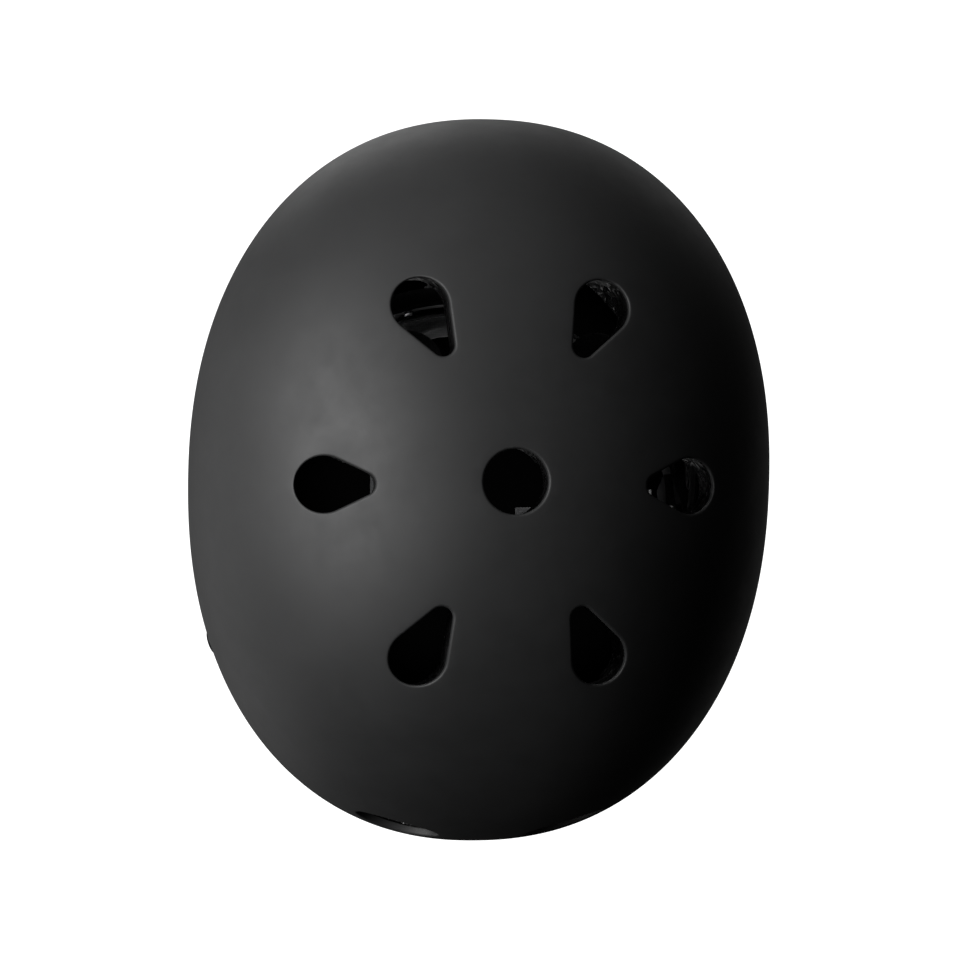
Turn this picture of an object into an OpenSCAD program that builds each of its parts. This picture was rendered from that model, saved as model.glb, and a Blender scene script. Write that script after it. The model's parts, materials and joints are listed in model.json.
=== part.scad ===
// Hard-shell bicycle helmet with a foam liner, a dial-fit cradle and a buckled chin strap.
// Millimetres, +Z up. The front of the helmet faces -Y and the wearer's left is +X.
// The origin is the centre of the head cavity, level with the shell's widest section.

/* [Shell] */
// Length of the shell, front to back
shell_length = 270; // [256:1:284]
// Width of the shell
shell_width = 218; // [208:1:228]
// Height of the crown above the widest section
crown_height = 105; // [98:1:112]
// Wall of the hard shell
shell_wall = 3; // [2.4:0.1:4]
// Rise of the widest section from mid-length to the back
equator_rise = 18; // [10:1:24]
// Squareness of the plan outline, where 2 is an ellipse
plan_power = 2.2; // [2:0.05:2.4]
// Depth over which the walls below the widest section would close
tuck_depth = 150; // [130:5:200]

/* [Rim] */
// Height of the rim at the brow
rim_brow = -34; // [-40:1:-30]
// Height of the rim at the temples
rim_temple = -44; // [-50:1:-40]
// Height of the rim over the ears
rim_ear = -27; // [-32:1:-24]
// Height of the rim behind the ears
rim_behind_ear = -50; // [-56:1:-46]
// Height of the rim at the nape
rim_nape = -56; // [-62:1:-50]

/* [Foam liner] */
// Thickness of the foam at the sides
liner_side = 20; // [18:0.5:22]
// Thickness of the foam at the brow and the nape
liner_end = 24; // [21:0.5:27]
// Thickness of the foam at the crown
liner_crown = 22; // [19:0.5:25]
// Height of the foam's bottom edge above the shell's rim
liner_recess = 4; // [2:0.5:6]
// Gap between the shell and the foam
liner_gap = 0.3; // [0.2:0.05:0.5]
// Depth of the air channels in the foam
channel_depth = 5; // [3:0.5:7]
// Width of the air channels
channel_width = 14; // [10:1:18]

/* [Vents] */
// Radius of the round crown vent
crown_vent_r = 11.2; // [9:0.2:13]
// Radius of the wide end of a teardrop vent
drop_r = 9.8; // [8:0.2:11]
// Radius of the narrow end of a teardrop vent
drop_tip_r = 4; // [3:0.2:5]
// Distance of a side teardrop's wide end from the middle
side_drop_x = 63.8; // [60:0.2:68]
// Sideways place of a corner teardrop's wide end
corner_drop_x = 31.5; // [29:0.5:35]
// Lengthways place of a corner teardrop's wide end
corner_drop_y = 60.4; // [57:0.2:64]
// Plan distance from a side teardrop's wide end to its narrow end
side_drop_reach = 13; // [11:0.5:16]
// Plan distance from a corner teardrop's wide end to its narrow end
corner_drop_reach = 15.7; // [13:0.1:18]
// Half the width of a brow or nape vent
end_vent_half_w = 15.5; // [13:0.5:18]
// Half the height of a brow or nape vent
end_vent_half_h = 10; // [8:0.5:12]
// Angle of a brow vent from the centre line
brow_vent_angle = 14; // [12:0.5:17]
// Height of the brow vents
brow_vent_z = 10; // [4:1:14]
// Angle of a nape vent from the centre line
nape_vent_angle = 15; // [12:0.5:18]
// Height of the nape vents
nape_vent_z = -4; // [-10:1:2]
// Step from the edge of a vent in the shell to its edge in the foam
vent_step = 1; // [0.5:0.1:2]

/* [Comfort pads] */
// Thickness of the pads
pad_thickness = 6; // [4:0.5:8]
// Gap between a pad and what it lies on
pad_gap = 0.3; // [0.2:0.05:0.5]
// Sideways place of a crown pad
crown_pad_x = 34; // [31:0.5:37]
// Half the width of a crown pad
crown_pad_half_w = 12.5; // [10:0.5:14]
// Height of the side pads
side_pad_z = 22; // [20:1:26]

/* [Strap anchors] */
// Distance of the front rivets ahead of the middle
front_rivet_y = -60; // [-66:1:-54]
// Distance of the rear rivets behind the middle
rear_rivet_y = 58; // [52:1:64]
// Height of the front rivets
front_rivet_z = -28; // [-32:1:-26]
// Height of the rear rivets
rear_rivet_z = -24; // [-28:1:-21]
// Radius of a rivet's shank
rivet_r = 2.25; // [1.8:0.05:2.6]
// Radius of a rivet's head
rivet_head_r = 4.6; // [4:0.1:5.4]
// Height of a rivet's domed head
rivet_head_h = 1.3; // [1:0.1:2]
// Radius of the washer behind the webbing
washer_r = 5.6; // [5:0.1:6.4]
// Thickness of the washer
washer_t = 0.8; // [0.6:0.1:1.2]

/* [Webbing] */
// Width of the webbing
web_w = 15; // [12:0.5:17]
// Thickness of the webbing
web_t = 1.6; // [1.2:0.1:1.8]
// Distance of the side dividers from the middle
divider_x = 75.5; // [72:0.5:79]
// Lengthways place of the dividers' lower edge
divider_y = -10; // [-16:1:-4]
// Height of the dividers' lower edge
divider_z = -118; // [-126:1:-112]
// Forward lean of the chin strap
strap_lean = 8; // [4:1:12]
// Drop of the chin strap below the dividers
strap_drop = 72; // [66:1:84]

/* [Dividers] */
// Height of a divider
divider_h = 31; // [29:0.5:34]
// Thickness of a divider
divider_t = 6; // [5:0.2:7]
// Radius of the lever's hinge pin
lever_pin_r = 1.25; // [1:0.05:1.5]

/* [Buckle] */
// Width of the buckle
buckle_w = 26; // [24:0.5:30]
// Thickness of the buckle
buckle_t = 9; // [8:0.2:11]
// Length of the buckle's socket
socket_l = 28; // [27:0.5:32]
// Length of the plug's ladder behind the socket
ladder_l = 17; // [16.5:0.5:20]
// Wall of the socket
socket_wall = 1.8; // [1.5:0.1:2.2]

/* [Cradle] */
// Lengthways place of the temple pins
pin_y = -12; // [-16:1:-8]
// Height of the temple pins
pin_z = -10; // [-12:0.5:-8]
// Downward slope of the cradle to the back
cradle_pitch = 24; // [22:0.5:26]
// Distance of the band's middle from the foam beside the temple pins
band_inset = 5.3; // [4.3:0.1:7.3]
// Thickness of the band
band_t = 2; // [1.6:0.1:2.4]
// Width of the band
band_w = 12; // [10:0.5:13]
// Drop of the band below the temple pins
band_drop = 14; // [13.5:0.25:15]
// Set-back of the band's centre behind the temple pins
band_set_back = 16; // [13:0.5:18]
// Radius of the temple pins
temple_pin_r = 3; // [2.6:0.1:3.4]

/* [Dial] */
// Teeth on the pinion
pinion_teeth = 10; // [9:1:11]
// Module of the pinion and the racks
gear_module = 0.8; // [0.7:0.05:0.85]
// Radius of the dial knob
knob_r = 14; // [12.5:0.5:15]
// Length of the dial knob
knob_l = 7; // [6:0.5:9]
// Radius of the dial's shaft
shaft_r = 3; // [2.6:0.1:3.4]
// Number of grip ribs round the knob
knob_ribs = 18; // [12:1:24]

/* [Hidden] */
$fn = 48;

running = 0.05;   // radial clearance of a turning pin
sliding = 0.3;    // clearance beside a sliding piece
seat = 0.1;       // clearance between pieces clamped together
spokes = 64;      // facets round a dome
upper_rings = 12; // facets of a dome above its widest section
lower_rings = 4;  // facets of a dome below its widest section

black = [0.07, 0.07, 0.075];
foam_black = [0.11, 0.11, 0.11];
pad_grey = [0.2, 0.2, 0.21];
webbing_black = [0.05, 0.05, 0.055];
buckle_black = [0.09, 0.09, 0.095];
steel = [0.62, 0.62, 0.64];

// A dome is given by its half width, its half length and its crown height.
outer_dome = [shell_width / 2, shell_length / 2, crown_height];
inner_dome = outer_dome - shell_wall * [1, 1, 1];
foam_dome = inner_dome - liner_gap * [1, 1, 1];
cavity_dome = foam_dome - [liner_side, liner_end, liner_crown];
pad_dome = cavity_dome - pad_gap * [1, 1, 1];
channel_dome = cavity_dome + channel_depth * [1, 1, 1];

function plan_r(dome, az) = 1 / pow(
    pow(abs(cos(az)) / dome[0], plan_power) + pow(abs(sin(az)) / dome[1], plan_power), 1 / plan_power);
function plan_y(dome, x) = dome[1] * pow(1 - pow(abs(x) / dome[0], plan_power), 1 / plan_power);
function equator_z(az) = equator_rise * sin(az);
function dome_half_h(dome, az, z) = z > equator_z(az) ? dome[2] - equator_z(az) : tuck_depth;
function dome_r(dome, az, z) = plan_r(dome, az)
    * sqrt(max(0, 1 - pow((z - equator_z(az)) / dome_half_h(dome, az, z), 2)));
function dome_z(dome, x, y) = let (az = atan2(y, x), e = equator_z(az))
    e + (dome[2] - e) * sqrt(max(0, 1 - pow(norm([x, y]) / plan_r(dome, az), 2)));
// Half width of a dome at a lengthways place and a height, found by stepping towards it.
function dome_x(dome, y, z, x = 90, steps = 12) = steps == 0 ? x
    : let (r = dome_r(dome, atan2(y, x), z)) dome_x(dome, y, z, sqrt(max(1, r * r - y * y)), steps - 1);
// The point on the left half of a dome at a lengthways place and a height.
function side_point(dome, y, z) = [dome_x(dome, y, z), y, z];
// A point on a dome at an azimuth and an angle down from the crown.
function dome_point(dome, az, down) = let (r = plan_r(dome, az), e = equator_z(az))
    [r * sin(down) * cos(az), r * sin(down) * sin(az), e + (dome[2] - e) * cos(down)];
function dome_level(dome, p) = let (az = atan2(p[1], p[0]))
    pow(norm([p[0], p[1]]) / plan_r(dome, az), 2)
    + pow((p[2] - equator_z(az)) / dome_half_h(dome, az, p[2]), 2);
function unit(v) = v / norm(v);
function dome_normal(dome, p, h = 0.05) = unit([for (k = [0:2])
    let (d = [for (i = [0:2]) i == k ? h : 0]) dome_level(dome, p + d) - dome_level(dome, p - d)]);

// Height of the rim round the helmet: it waves from brow to temple, ear and nape.
rim_keys = [[-90, rim_brow], [-42, rim_temple], [8, rim_ear], [52, rim_behind_ear], [90, rim_nape]];
function wave(a, b, t) = a + (b - a) * (1 - cos(180 * t)) / 2;
function rim_z(az) = let (side = asin(sin(az)),
        k = side > rim_keys[3][0] ? 3 : side > rim_keys[2][0] ? 2 : side > rim_keys[1][0] ? 1 : 0,
        a = rim_keys[k], b = rim_keys[k + 1])
    wave(a[1], b[1], (side - a[0]) / (b[0] - a[0]));

// One side of a dome down to its bottom edge, as rings of points under the crown point.
function dome_rings(dome, lift) = [
    for (j = [1:upper_rings]) for (i = [0:spokes - 1])
        dome_point(dome, 360 * i / spokes, 90 * j / upper_rings),
    for (k = [1:lower_rings]) for (i = [0:spokes - 1])
        let (az = 360 * i / spokes, e = equator_z(az),
            z = e + (rim_z(az) + lift - e) * k / lower_rings, r = dome_r(dome, az, z))
        [r * cos(az), r * sin(az), z]];
function ring_faces(rings, base, inward) = [for (j = [0:rings - 2]) for (i = [0:spokes - 1])
    let (a = base + j * spokes + i, b = base + j * spokes + (i + 1) % spokes, c = b + spokes,
        d = a + spokes)
    each inward ? [[a, c, b], [a, d, c]] : [[a, b, c], [a, c, d]]];
function fan_faces(top, inward) = [for (i = [0:spokes - 1])
    let (a = top + 1 + i, b = top + 1 + (i + 1) % spokes) inward ? [top, a, b] : [top, b, a]];

// A hollow dome between two surfaces, closed along its bottom edge.
module hollow_dome(outside, inside, lift) {
    rings = upper_rings + lower_rings;
    inner_top = 1 + rings * spokes;
    points = concat([[0, 0, outside[2]]], dome_rings(outside, lift),
        [[0, 0, inside[2]]], dome_rings(inside, lift));
    edge = [for (i = [0:spokes - 1])
        let (a = 1 + (rings - 1) * spokes + i, b = 1 + (rings - 1) * spokes + (i + 1) % spokes)
        each [[a, b, b + inner_top], [a, b + inner_top, a + inner_top]]];
    polyhedron(points, concat(fan_faces(0, false), ring_faces(rings, 1, false),
        fan_faces(inner_top, true), ring_faces(rings, inner_top + 1, true), edge), convexity = 10);
}

// Places children at a point of the shell, with +Z outwards and +X towards a second point.
module on_shell(p, towards) {
    z = dome_normal(outer_dome, p);
    x = unit((towards - p) - ((towards - p) * z) * z);
    y = cross(z, x);
    multmatrix([for (k = [0:2]) [x[k], y[k], z[k], p[k]]]) children();
}
module both_sides() {
    children();
    mirror([1, 0, 0]) children();
}

// Outline of a teardrop along +X, with its wide end at the origin.
module teardrop(reach, wide, narrow, steps = 9) {
    turn = acos((wide - narrow) / reach);
    polygon([
        for (i = [0:2 * steps]) let (a = turn + (360 - 2 * turn) * i / (2 * steps))
            wide * [cos(a), sin(a)],
        for (i = [0:steps]) let (a = -turn + 2 * turn * i / steps)
            [reach, 0] + narrow * [cos(a), sin(a)]]);
}
module oval(half_w, half_h, steps = 32) {
    polygon([for (i = [0:steps - 1]) [half_w * cos(360 * i / steps), half_h * sin(360 * i / steps)]]);
}

// Tools that cut every vent, larger all round by an edge.
side_drop_y = -1;
vent_floor = 40; // the upper vents are cut down to this height, inside the head cavity
module upper_vents(edge) {
    translate([0, 0, vent_floor]) linear_extrude(crown_height) {
        circle(crown_vent_r + edge);
        for (s = [-1, 1])
            translate([s * side_drop_x, side_drop_y]) rotate(s > 0 ? 180 : 0)
                teardrop(side_drop_reach, drop_r + edge, drop_tip_r + edge);
        for (s = [-1, 1]) for (t = [-1, 1])
            translate([s * corner_drop_x, t * corner_drop_y])
                rotate(atan2(-t * corner_drop_y, -s * corner_drop_x))
                    teardrop(corner_drop_reach, drop_r + edge, drop_tip_r + edge);
    }
}
module end_vents(edge) {
    for (s = [-1, 1]) {
        rotate(-90 + s * brow_vent_angle) translate([shell_length / 4, 0, brow_vent_z])
            rotate([90, 0, 90]) linear_extrude(shell_length / 2)
                oval(end_vent_half_w + edge, end_vent_half_h + edge);
        rotate(90 + s * nape_vent_angle) translate([shell_length / 4, 0, nape_vent_z])
            rotate([90, 0, 90]) linear_extrude(shell_length / 2)
                oval(end_vent_half_w + edge, end_vent_half_h + edge);
    }
}

// The webbing hangs from four rivets, and each end lies in a pocket between shell and foam.
strap_gap = 0.6;  // between the shell and the webbing
front_rivet = side_point(outer_dome, front_rivet_y, front_rivet_z);
rear_rivet = side_point(outer_dome, rear_rivet_y, rear_rivet_z);
strap_bow = 0.4;  // room for the webbing to follow the shell's curve past a flat washer
strap_in = shell_wall + strap_gap;              // depth of the webbing's outer face
washer_in = strap_in + web_t + strap_bow;       // depth of the washer's outer face
rivet_tail_in = washer_in + washer_t + seat;    // depth of the rivet's flared tail
rivet_tail_t = 1;
pocket_depth = rivet_tail_in + rivet_tail_t + 1;
pocket_margin = 1.5;
strap_end = 9;    // webbing beyond the rivet's axis

// A divider is a flat plate with a channel for each of the three straps that meet in it.
divider_foot = [divider_x, divider_y, divider_z];
strap_meet = 10;        // height in the divider at which the strap centre lines cross
front_lean = 30;        // lean of the front strap from upright, in the divider's plane
rear_lean = 38;         // lean of the rear strap
strap_stop = 12.5;      // distance of the upper straps' ends from the crossing
divider_reach = divider_h - strap_meet; // distance of the divider's shoulders from the crossing
divider_edge = 2.2;     // material beside a strap
function divider_point(lean, along, across = 0) = [divider_x,
    divider_y + along * sin(lean) + across * cos(lean),
    divider_z + strap_meet + along * cos(lean) - across * sin(lean)];

// A flat ribbon through section centres, each with the direction that its face looks in.
function ribbon_corners(centres, normals) = [for (i = [0:len(centres) - 1])
    let (along = unit(centres[min(i + 1, len(centres) - 1)] - centres[max(i - 1, 0)]),
        across = unit(cross(normals[i], along)) * web_w / 2,
        out = unit(cross(along, across)) * web_t / 2, c = centres[i])
    each [c + across + out, c - across + out, c - across - out, c + across - out]];
module ribbon(centres, normals) {
    last = 4 * (len(centres) - 1);
    polyhedron(ribbon_corners(centres, normals), concat([[0, 1, 2], [0, 2, 3]],
        [for (i = [0:len(centres) - 2]) for (k = [0:3])
            let (a = 4 * i + k, b = 4 * i + (k + 1) % 4) each [[a, a + 4, b + 4], [a, b + 4, b]]],
        [[last, last + 2, last + 1], [last, last + 3, last + 2]]), convexity = 4);
}
// Section centre under the shell at a share of the way from a rivet to a divider.
function under_shell(p) = p - dome_normal(outer_dome, p) * (strap_in + web_t / 2);
function strap_way(rivet, lean, t) = let (end = divider_point(lean, divider_reach))
    side_point(outer_dome, rivet[1] + (end[1] - rivet[1]) * t, rivet[2] + (end[2] - rivet[2]) * t);
module strap(rivet, lean, tuck) {
    start = -strap_end / norm(divider_point(lean, divider_reach) - rivet);
    way = [for (t = [start, 0, tuck / 2, tuck]) strap_way(rivet, lean, t)];
    ends = [for (along = [divider_reach + 6, divider_reach, strap_stop]) divider_point(lean, along)];
    difference() {
        ribbon([for (p = way) under_shell(p), each ends],
            [for (p = way) dome_normal(outer_dome, p), for (p = ends) [1, 0, 0]]);
        rivet_hole(rivet, lean);
    }
}
module rivet_frame(rivet, lean) on_shell(rivet, divider_point(lean, divider_reach)) children();
module rivet_hole(rivet, lean)
    rivet_frame(rivet, lean) cylinder(h = 2 * pocket_depth, r = rivet_r + seat, center = true);
module at_rivets() both_sides() {
    rivet_frame(front_rivet, -front_lean) children();
    rivet_frame(rear_rivet, rear_lean) children();
}

// The chin loop hangs from the dividers in a plane that leans forward.
loop_flat = socket_l + 8;               // half length of the loop's flat bottom
loop_r = divider_x - loop_flat;         // radius of its corners
loop_drop = strap_drop - loop_r;        // straight stretch under a divider
chin_stop = 16;                         // height in the divider at which the chin strap ends
loop_lean = asin(strap_lean / strap_drop);
module chin_frame() translate([0, divider_y, divider_z]) rotate([-loop_lean, 0, 0]) children();
// Draws a flat outline in the loop's plane, at a width along the loop's own Y.
module across_loop(width) rotate([90, 0, 0]) linear_extrude(width, center = true) children();
module arc_band(r, t, from, to) {
    far = 2 * r;
    mid = (from + to) / 2;
    intersection() {
        difference() {
            circle(r + t / 2, $fn = 96);
            circle(r - t / 2, $fn = 96);
        }
        polygon([[0, 0], far * [cos(from), sin(from)], far * [cos(mid), sin(mid)] * 1.5,
            far * [cos(to), sin(to)]]);
    }
}

// The buckle lies in the loop's flat bottom, with the socket on the wearer's left.
bar_r = 1.6;
eye_r = bar_r + seat;                   // inside of the webbing's turn round a bar
socket_bar_x = socket_l - bar_r;
plug_bar_x = -6;
ladder_bar_x = -ladder_l + bar_r + 0.4;
frame_w = web_w + 2;                    // opening of the buckle's frames
cavity_l = 19.5;                        // depth of the socket
prong_l = 18;
prong_w = 3;
prong_gap = 0.3;                        // between a prong and the socket's side wall
catch_x = 7;
catch_l = 7.5;
prong_t = buckle_t - 2 * socket_wall - 2 * sliding;
cavity_w = buckle_w - 2 * socket_wall;
plug_t = 7;
tongue_w = 4.4;                         // the plug's middle tongue
module buckle_frame() chin_frame() translate([0, 0, -strap_drop]) children();

// The cradle hangs from the temple pins and slopes down to the back.
wall_x = dome_x(cavity_dome, pin_y, pin_z);
band_r = wall_x - band_inset;           // radius of the band's arc
guide_out = wall_x - 2.2;               // outer face of a temple guide
guide_t = 4.2;
guide_r = 7;                            // round end of a guide about its pin
flange_r = 11;
flange_t = 2.5;
boss_r = 6;
anchor_sink = 3;                        // depth of the anchor's flange in the foam
cap_r = 5.5;
cap_t = 1.8;
module cradle_frame() translate([0, pin_y, pin_z]) rotate([-cradle_pitch, 0, 0]) children();
module nape_frame() cradle_frame() translate([0, band_set_back, -band_drop]) children();
// A sector of a ring round the band's centre, between two azimuths.
module ring_sector(r0, r1, z0, z1, from, to)
    rotate(from) rotate_extrude(angle = to - from, $fn = 96) translate([r0, z0]) square([r1 - r0, z1 - z0]);
// Turns a shape drawn upright so that its +Z looks out to the back along the dial's axis.
module dial_axis() nape_frame() translate([0, band_r, 0]) rotate([-90, 0, 0]) children();

band_in = band_r - band_t / 2;
band_out = band_r + band_t / 2;
band_front = -5;                        // azimuth of a band's front end
guide_from = -6;
guide_to = 4;
guide_play_in = 1.7;                    // a band's end shifts in its guide as the dial turns
guide_play_out = 0.5;
guide_wall = 1.6;

// The racks run over and under the pinion, and the arms pass each other inside the housing.
pinion_r = gear_module * pinion_teeth / 2;
tooth_pitch = PI * gear_module;
backlash = 0.2;
addendum = 0.68 * gear_module;
dedendum = 0.95 * gear_module;
rack_low = pinion_r - addendum;
rack_high = rack_low + 5.4;
rack_past = 14;                         // a rack's tip beyond the pinion, along the arc
rack_start = 38;                        // the full band's end before the pinion, along the arc
rack_overlap = 3;                       // the full band and the rack run together over this length
rack_teeth = 11;
function arc_angle(length) = length / band_r * 180 / PI;
housing_span = 22;                      // half the housing's angle
housing_h = rack_high + 4.2;            // half its height
housing_wall = 3.5;
cavity_h = rack_high + 0.8;
cavity_in = band_in - 0.5;
cavity_out = band_out + 0.5;
housing_out = cavity_out + housing_wall;
plate_out = cavity_in - seat;
plate_t = 1.6;
plate_in = plate_out - plate_t;
screw_angle = 17;
screw_z = (cavity_h + housing_h) / 2;
screw_r = 0.9;
screw_head_r = 1.7;
screw_head_t = 1;
screw_l = 6;
screw_lift = 0.2;                       // the screw's shank starts this far inside the plate
pinion_t = band_t + 0.4;
washer_gap = 0.1;
dial_washer_t = 0.5;
knob_back = housing_out + washer_gap + dial_washer_t + washer_gap; // inner face of the knob
dial_screw_r = 1.25;

module outer_shell() color(black) difference() {
    hollow_dome(outer_dome, inner_dome, 0);
    upper_vents(0);
    end_vents(0);
    at_rivets() cylinder(h = 4 * shell_wall, r = rivet_r + seat, center = true);
}

// An air channel is a slab through the cavity that reaches into the foam.
channel_foot = -20;
module long_channel(x) {
    reach = plan_y(channel_dome, x) - 0.01;
    translate([x - channel_width / 2, 0, 0]) rotate([90, 0, 90]) linear_extrude(channel_width)
        polygon([for (i = [0:28]) let (y = reach * cos(180 * i / 28)) [y, dome_z(channel_dome, x, y)],
            [-reach, channel_foot], [reach, channel_foot]]);
}
module cross_channel(span = 72) {
    translate([0, channel_width / 2, 0]) rotate([90, 0, 0]) linear_extrude(channel_width)
        polygon([for (i = [-12:12]) let (p = dome_point(channel_dome, 0, span * i / 12)) [p[0], p[2]]]);
}
// Room behind the nape for the housing and its knob, as the cradle tilts and the dial is let out.
tilt_room = 8.4;     // way up of the knob as the cradle tilts
draw_room = 19.6;    // way back of the housing as the cradle tilts and the dial is let out
notch_side = 1.7;    // beside the housing
knob_side = 3.5;     // beside the knob
knob_room = 23.6;    // way back of the knob
function nape_y(out, high) = pin_y + (band_set_back + out) * cos(cradle_pitch)
    + (high - band_drop) * sin(cradle_pitch);
function nape_z(out, high) = pin_z - (band_set_back + out) * sin(cradle_pitch)
    + (high - band_drop) * cos(cradle_pitch);
nape_notch_z = nape_z(knob_back, knob_r) + tilt_room;
housing_notch = [2 * (housing_out * sin(housing_span) + notch_side),
    nape_y(housing_out, housing_h) + draw_room];
knob_notch = [2 * (knob_r + knob_side), nape_y(knob_back + knob_l, knob_r) + knob_room];
module nape_notch(size) translate([-size[0] / 2, size[1] / 2, rim_nape - 10])
    cube([size[0], size[1] / 2, nape_notch_z - rim_nape + 10]);

module foam_liner() color(foam_black) difference() {
    hollow_dome(foam_dome, cavity_dome, liner_recess);
    upper_vents(vent_step);
    end_vents(vent_step);
    for (s = [-1, 1]) long_channel(s * corner_drop_x);
    cross_channel();
    at_rivets() translate([-strap_end - 2, -web_w / 2 - pocket_margin, -pocket_depth])
        cube([8 * strap_end, web_w + 2 * pocket_margin, pocket_depth]);
    both_sides() translate([wall_x + anchor_sink, pin_y, pin_z]) rotate([0, -90, 0])
        cylinder(h = 2 * anchor_sink + 10, r = flange_r + sliding);
    nape_notch(housing_notch);
    nape_notch(knob_notch);
}

// Comfort pads are cut out of a layer that lines the head cavity.
pad_h = 25;
brow_pad_w = 124;
brow_pad_z = -15;
back_pad_w = 76;
back_pad_z = 27;
side_pad_w = 92;
crown_pad_ends = [-20, 41]; // centres of a crown pad's round ends, lengthways
module pad_layer() hollow_dome(pad_dome, pad_dome - pad_thickness * [1, 1, 1], liner_recess + 1);
module soft_box(width, height, corner = 8) offset(corner) square([width, height] - 2 * corner * [1, 1],
    center = true);
module end_pad(towards, z, width, height) color(pad_grey) intersection() {
    pad_layer();
    translate([0, 0, z]) rotate([90, 0, towards]) translate([0, 0, -shell_length])
        linear_extrude(shell_length) soft_box(width, height);
}
module side_pad() color(pad_grey) intersection() {
    pad_layer();
    translate([0, 0, side_pad_z]) rotate([90, 0, 90]) linear_extrude(shell_width)
        soft_box(side_pad_w, pad_h);
}
module crown_pad() color(pad_grey) intersection() {
    pad_layer();
    translate([crown_pad_x, 0, vent_floor]) linear_extrude(crown_height) hull()
        for (y = crown_pad_ends) translate([0, y]) circle(crown_pad_half_w, $fn = 32);
}
module brow_pad() end_pad(180, brow_pad_z, brow_pad_w, pad_h);
module back_pad() end_pad(0, back_pad_z, back_pad_w, pad_h);
module left_side_pad() side_pad();
module right_side_pad() mirror([1, 0, 0]) side_pad();
module left_crown_pad() crown_pad();
module right_crown_pad() mirror([1, 0, 0]) crown_pad();

module strap_rivets() color(steel) at_rivets() rotate_extrude() polygon([[0, rivet_head_h],
    [0.4 * rivet_head_r, 0.92 * rivet_head_h], [0.78 * rivet_head_r, 0.68 * rivet_head_h],
    [rivet_head_r, 0.31 * rivet_head_h], [rivet_head_r, seat], [rivet_r, seat],
    [rivet_r, -rivet_tail_in], [rivet_r + 1.4, -rivet_tail_in],
    [rivet_r + 1, -rivet_tail_in - rivet_tail_t], [0, -rivet_tail_in - rivet_tail_t]]);
module rivet_washers() color(steel) at_rivets() translate([0, 0, -washer_in - washer_t])
    difference() {
        cylinder(h = washer_t, r = washer_r);
        translate([0, 0, -1]) cylinder(h = washer_t + 2, r = rivet_r + seat);
    }

front_tuck = 0.22; // share of the way to the divider at which a strap leaves the shell's rim
rear_tuck = 0.17;
module front_strap() color(webbing_black) strap(front_rivet, -front_lean, front_tuck);
module rear_strap() color(webbing_black) strap(rear_rivet, rear_lean, rear_tuck);
module left_front_strap() front_strap();
module left_rear_strap() rear_strap();
module right_front_strap() mirror([1, 0, 0]) front_strap();
module right_rear_strap() mirror([1, 0, 0]) rear_strap();

// Draws an outline given in the divider's own plane, lengthways by height, over a thickness.
module divider_plane(thickness) translate(divider_foot) rotate([90, 0, 90])
    linear_extrude(thickness, center = true) children();
module strap_slot(lean, from, to) translate([0, strap_meet]) rotate(-lean)
    translate([-web_w / 2 - sliding, from]) square([web_w + 2 * sliding, to - from]);
module shoulder(lean) translate([0, strap_meet]) rotate(-lean) for (s = [-1, 1])
    translate([s * (web_w / 2 + divider_edge - 2), divider_reach - 2]) circle(2, $fn = 24);
lever_w = 14;
lever_l = 20;
lever_t = 2.2;
lever_barrel = 2.6;
lever_z = 24;       // height of the lever's pin above the divider's foot
ear_t = 2.5;
lever_x = divider_x + divider_t / 2 + lever_barrel + 0.3;
module lever_axis() translate([lever_x, divider_y, divider_z + lever_z]) rotate([90, 0, 0]) children();
module divider() color(buckle_black) difference() {
    union() {
        divider_plane(divider_t) hull() {
            for (s = [-1, 1]) translate([s * (web_w / 2 + divider_edge - 2), 2]) circle(2, $fn = 24);
            shoulder(-front_lean);
            shoulder(rear_lean);
        }
        for (s = [-1, 1]) translate([0, -s * (lever_w / 2 + sliding + ear_t / 2), 0]) lever_axis() {
            cylinder(h = ear_t, r = lever_barrel, center = true);
            translate([-lever_barrel - 0.4, -lever_barrel, -ear_t / 2])
                cube([lever_barrel + 0.4, 2 * lever_barrel, ear_t]);
        }
    }
    divider_plane(web_t + 0.5) {
        strap_slot(-front_lean, strap_stop - 0.5, divider_h);
        strap_slot(rear_lean, strap_stop - 0.5, divider_h);
        rotate(-loop_lean) translate([-web_w / 2 - sliding, -chin_stop / 4])
            square([web_w + 2 * sliding, chin_stop + chin_stop / 4 + 0.5]);
    }
    lever_axis() cylinder(h = lever_w + 4 * ear_t, r = lever_pin_r + running, center = true);
}
lever_lip = [1.2, 2];   // height and width of the lip along a lever's free end
module lever() color(buckle_black) union() {
    lever_axis() {
        cylinder(h = lever_w + 2 * sliding + 2 * ear_t, r = lever_pin_r, center = true);
        cylinder(h = lever_w, r = lever_barrel - 0.1, center = true);
    }
    translate([lever_x - lever_barrel + 0.1, divider_y - lever_w / 2, divider_z + lever_z - lever_l])
        cube([lever_t, lever_w, lever_l]);
    translate([lever_x - lever_barrel + 0.1, divider_y - lever_w / 2, divider_z + lever_z - lever_l])
        cube([lever_t + lever_lip[0], lever_w, lever_lip[1]]);
}
module left_divider() divider();
module right_divider() mirror([1, 0, 0]) divider();
module left_lever() lever();
module right_lever() mirror([1, 0, 0]) lever();

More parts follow.
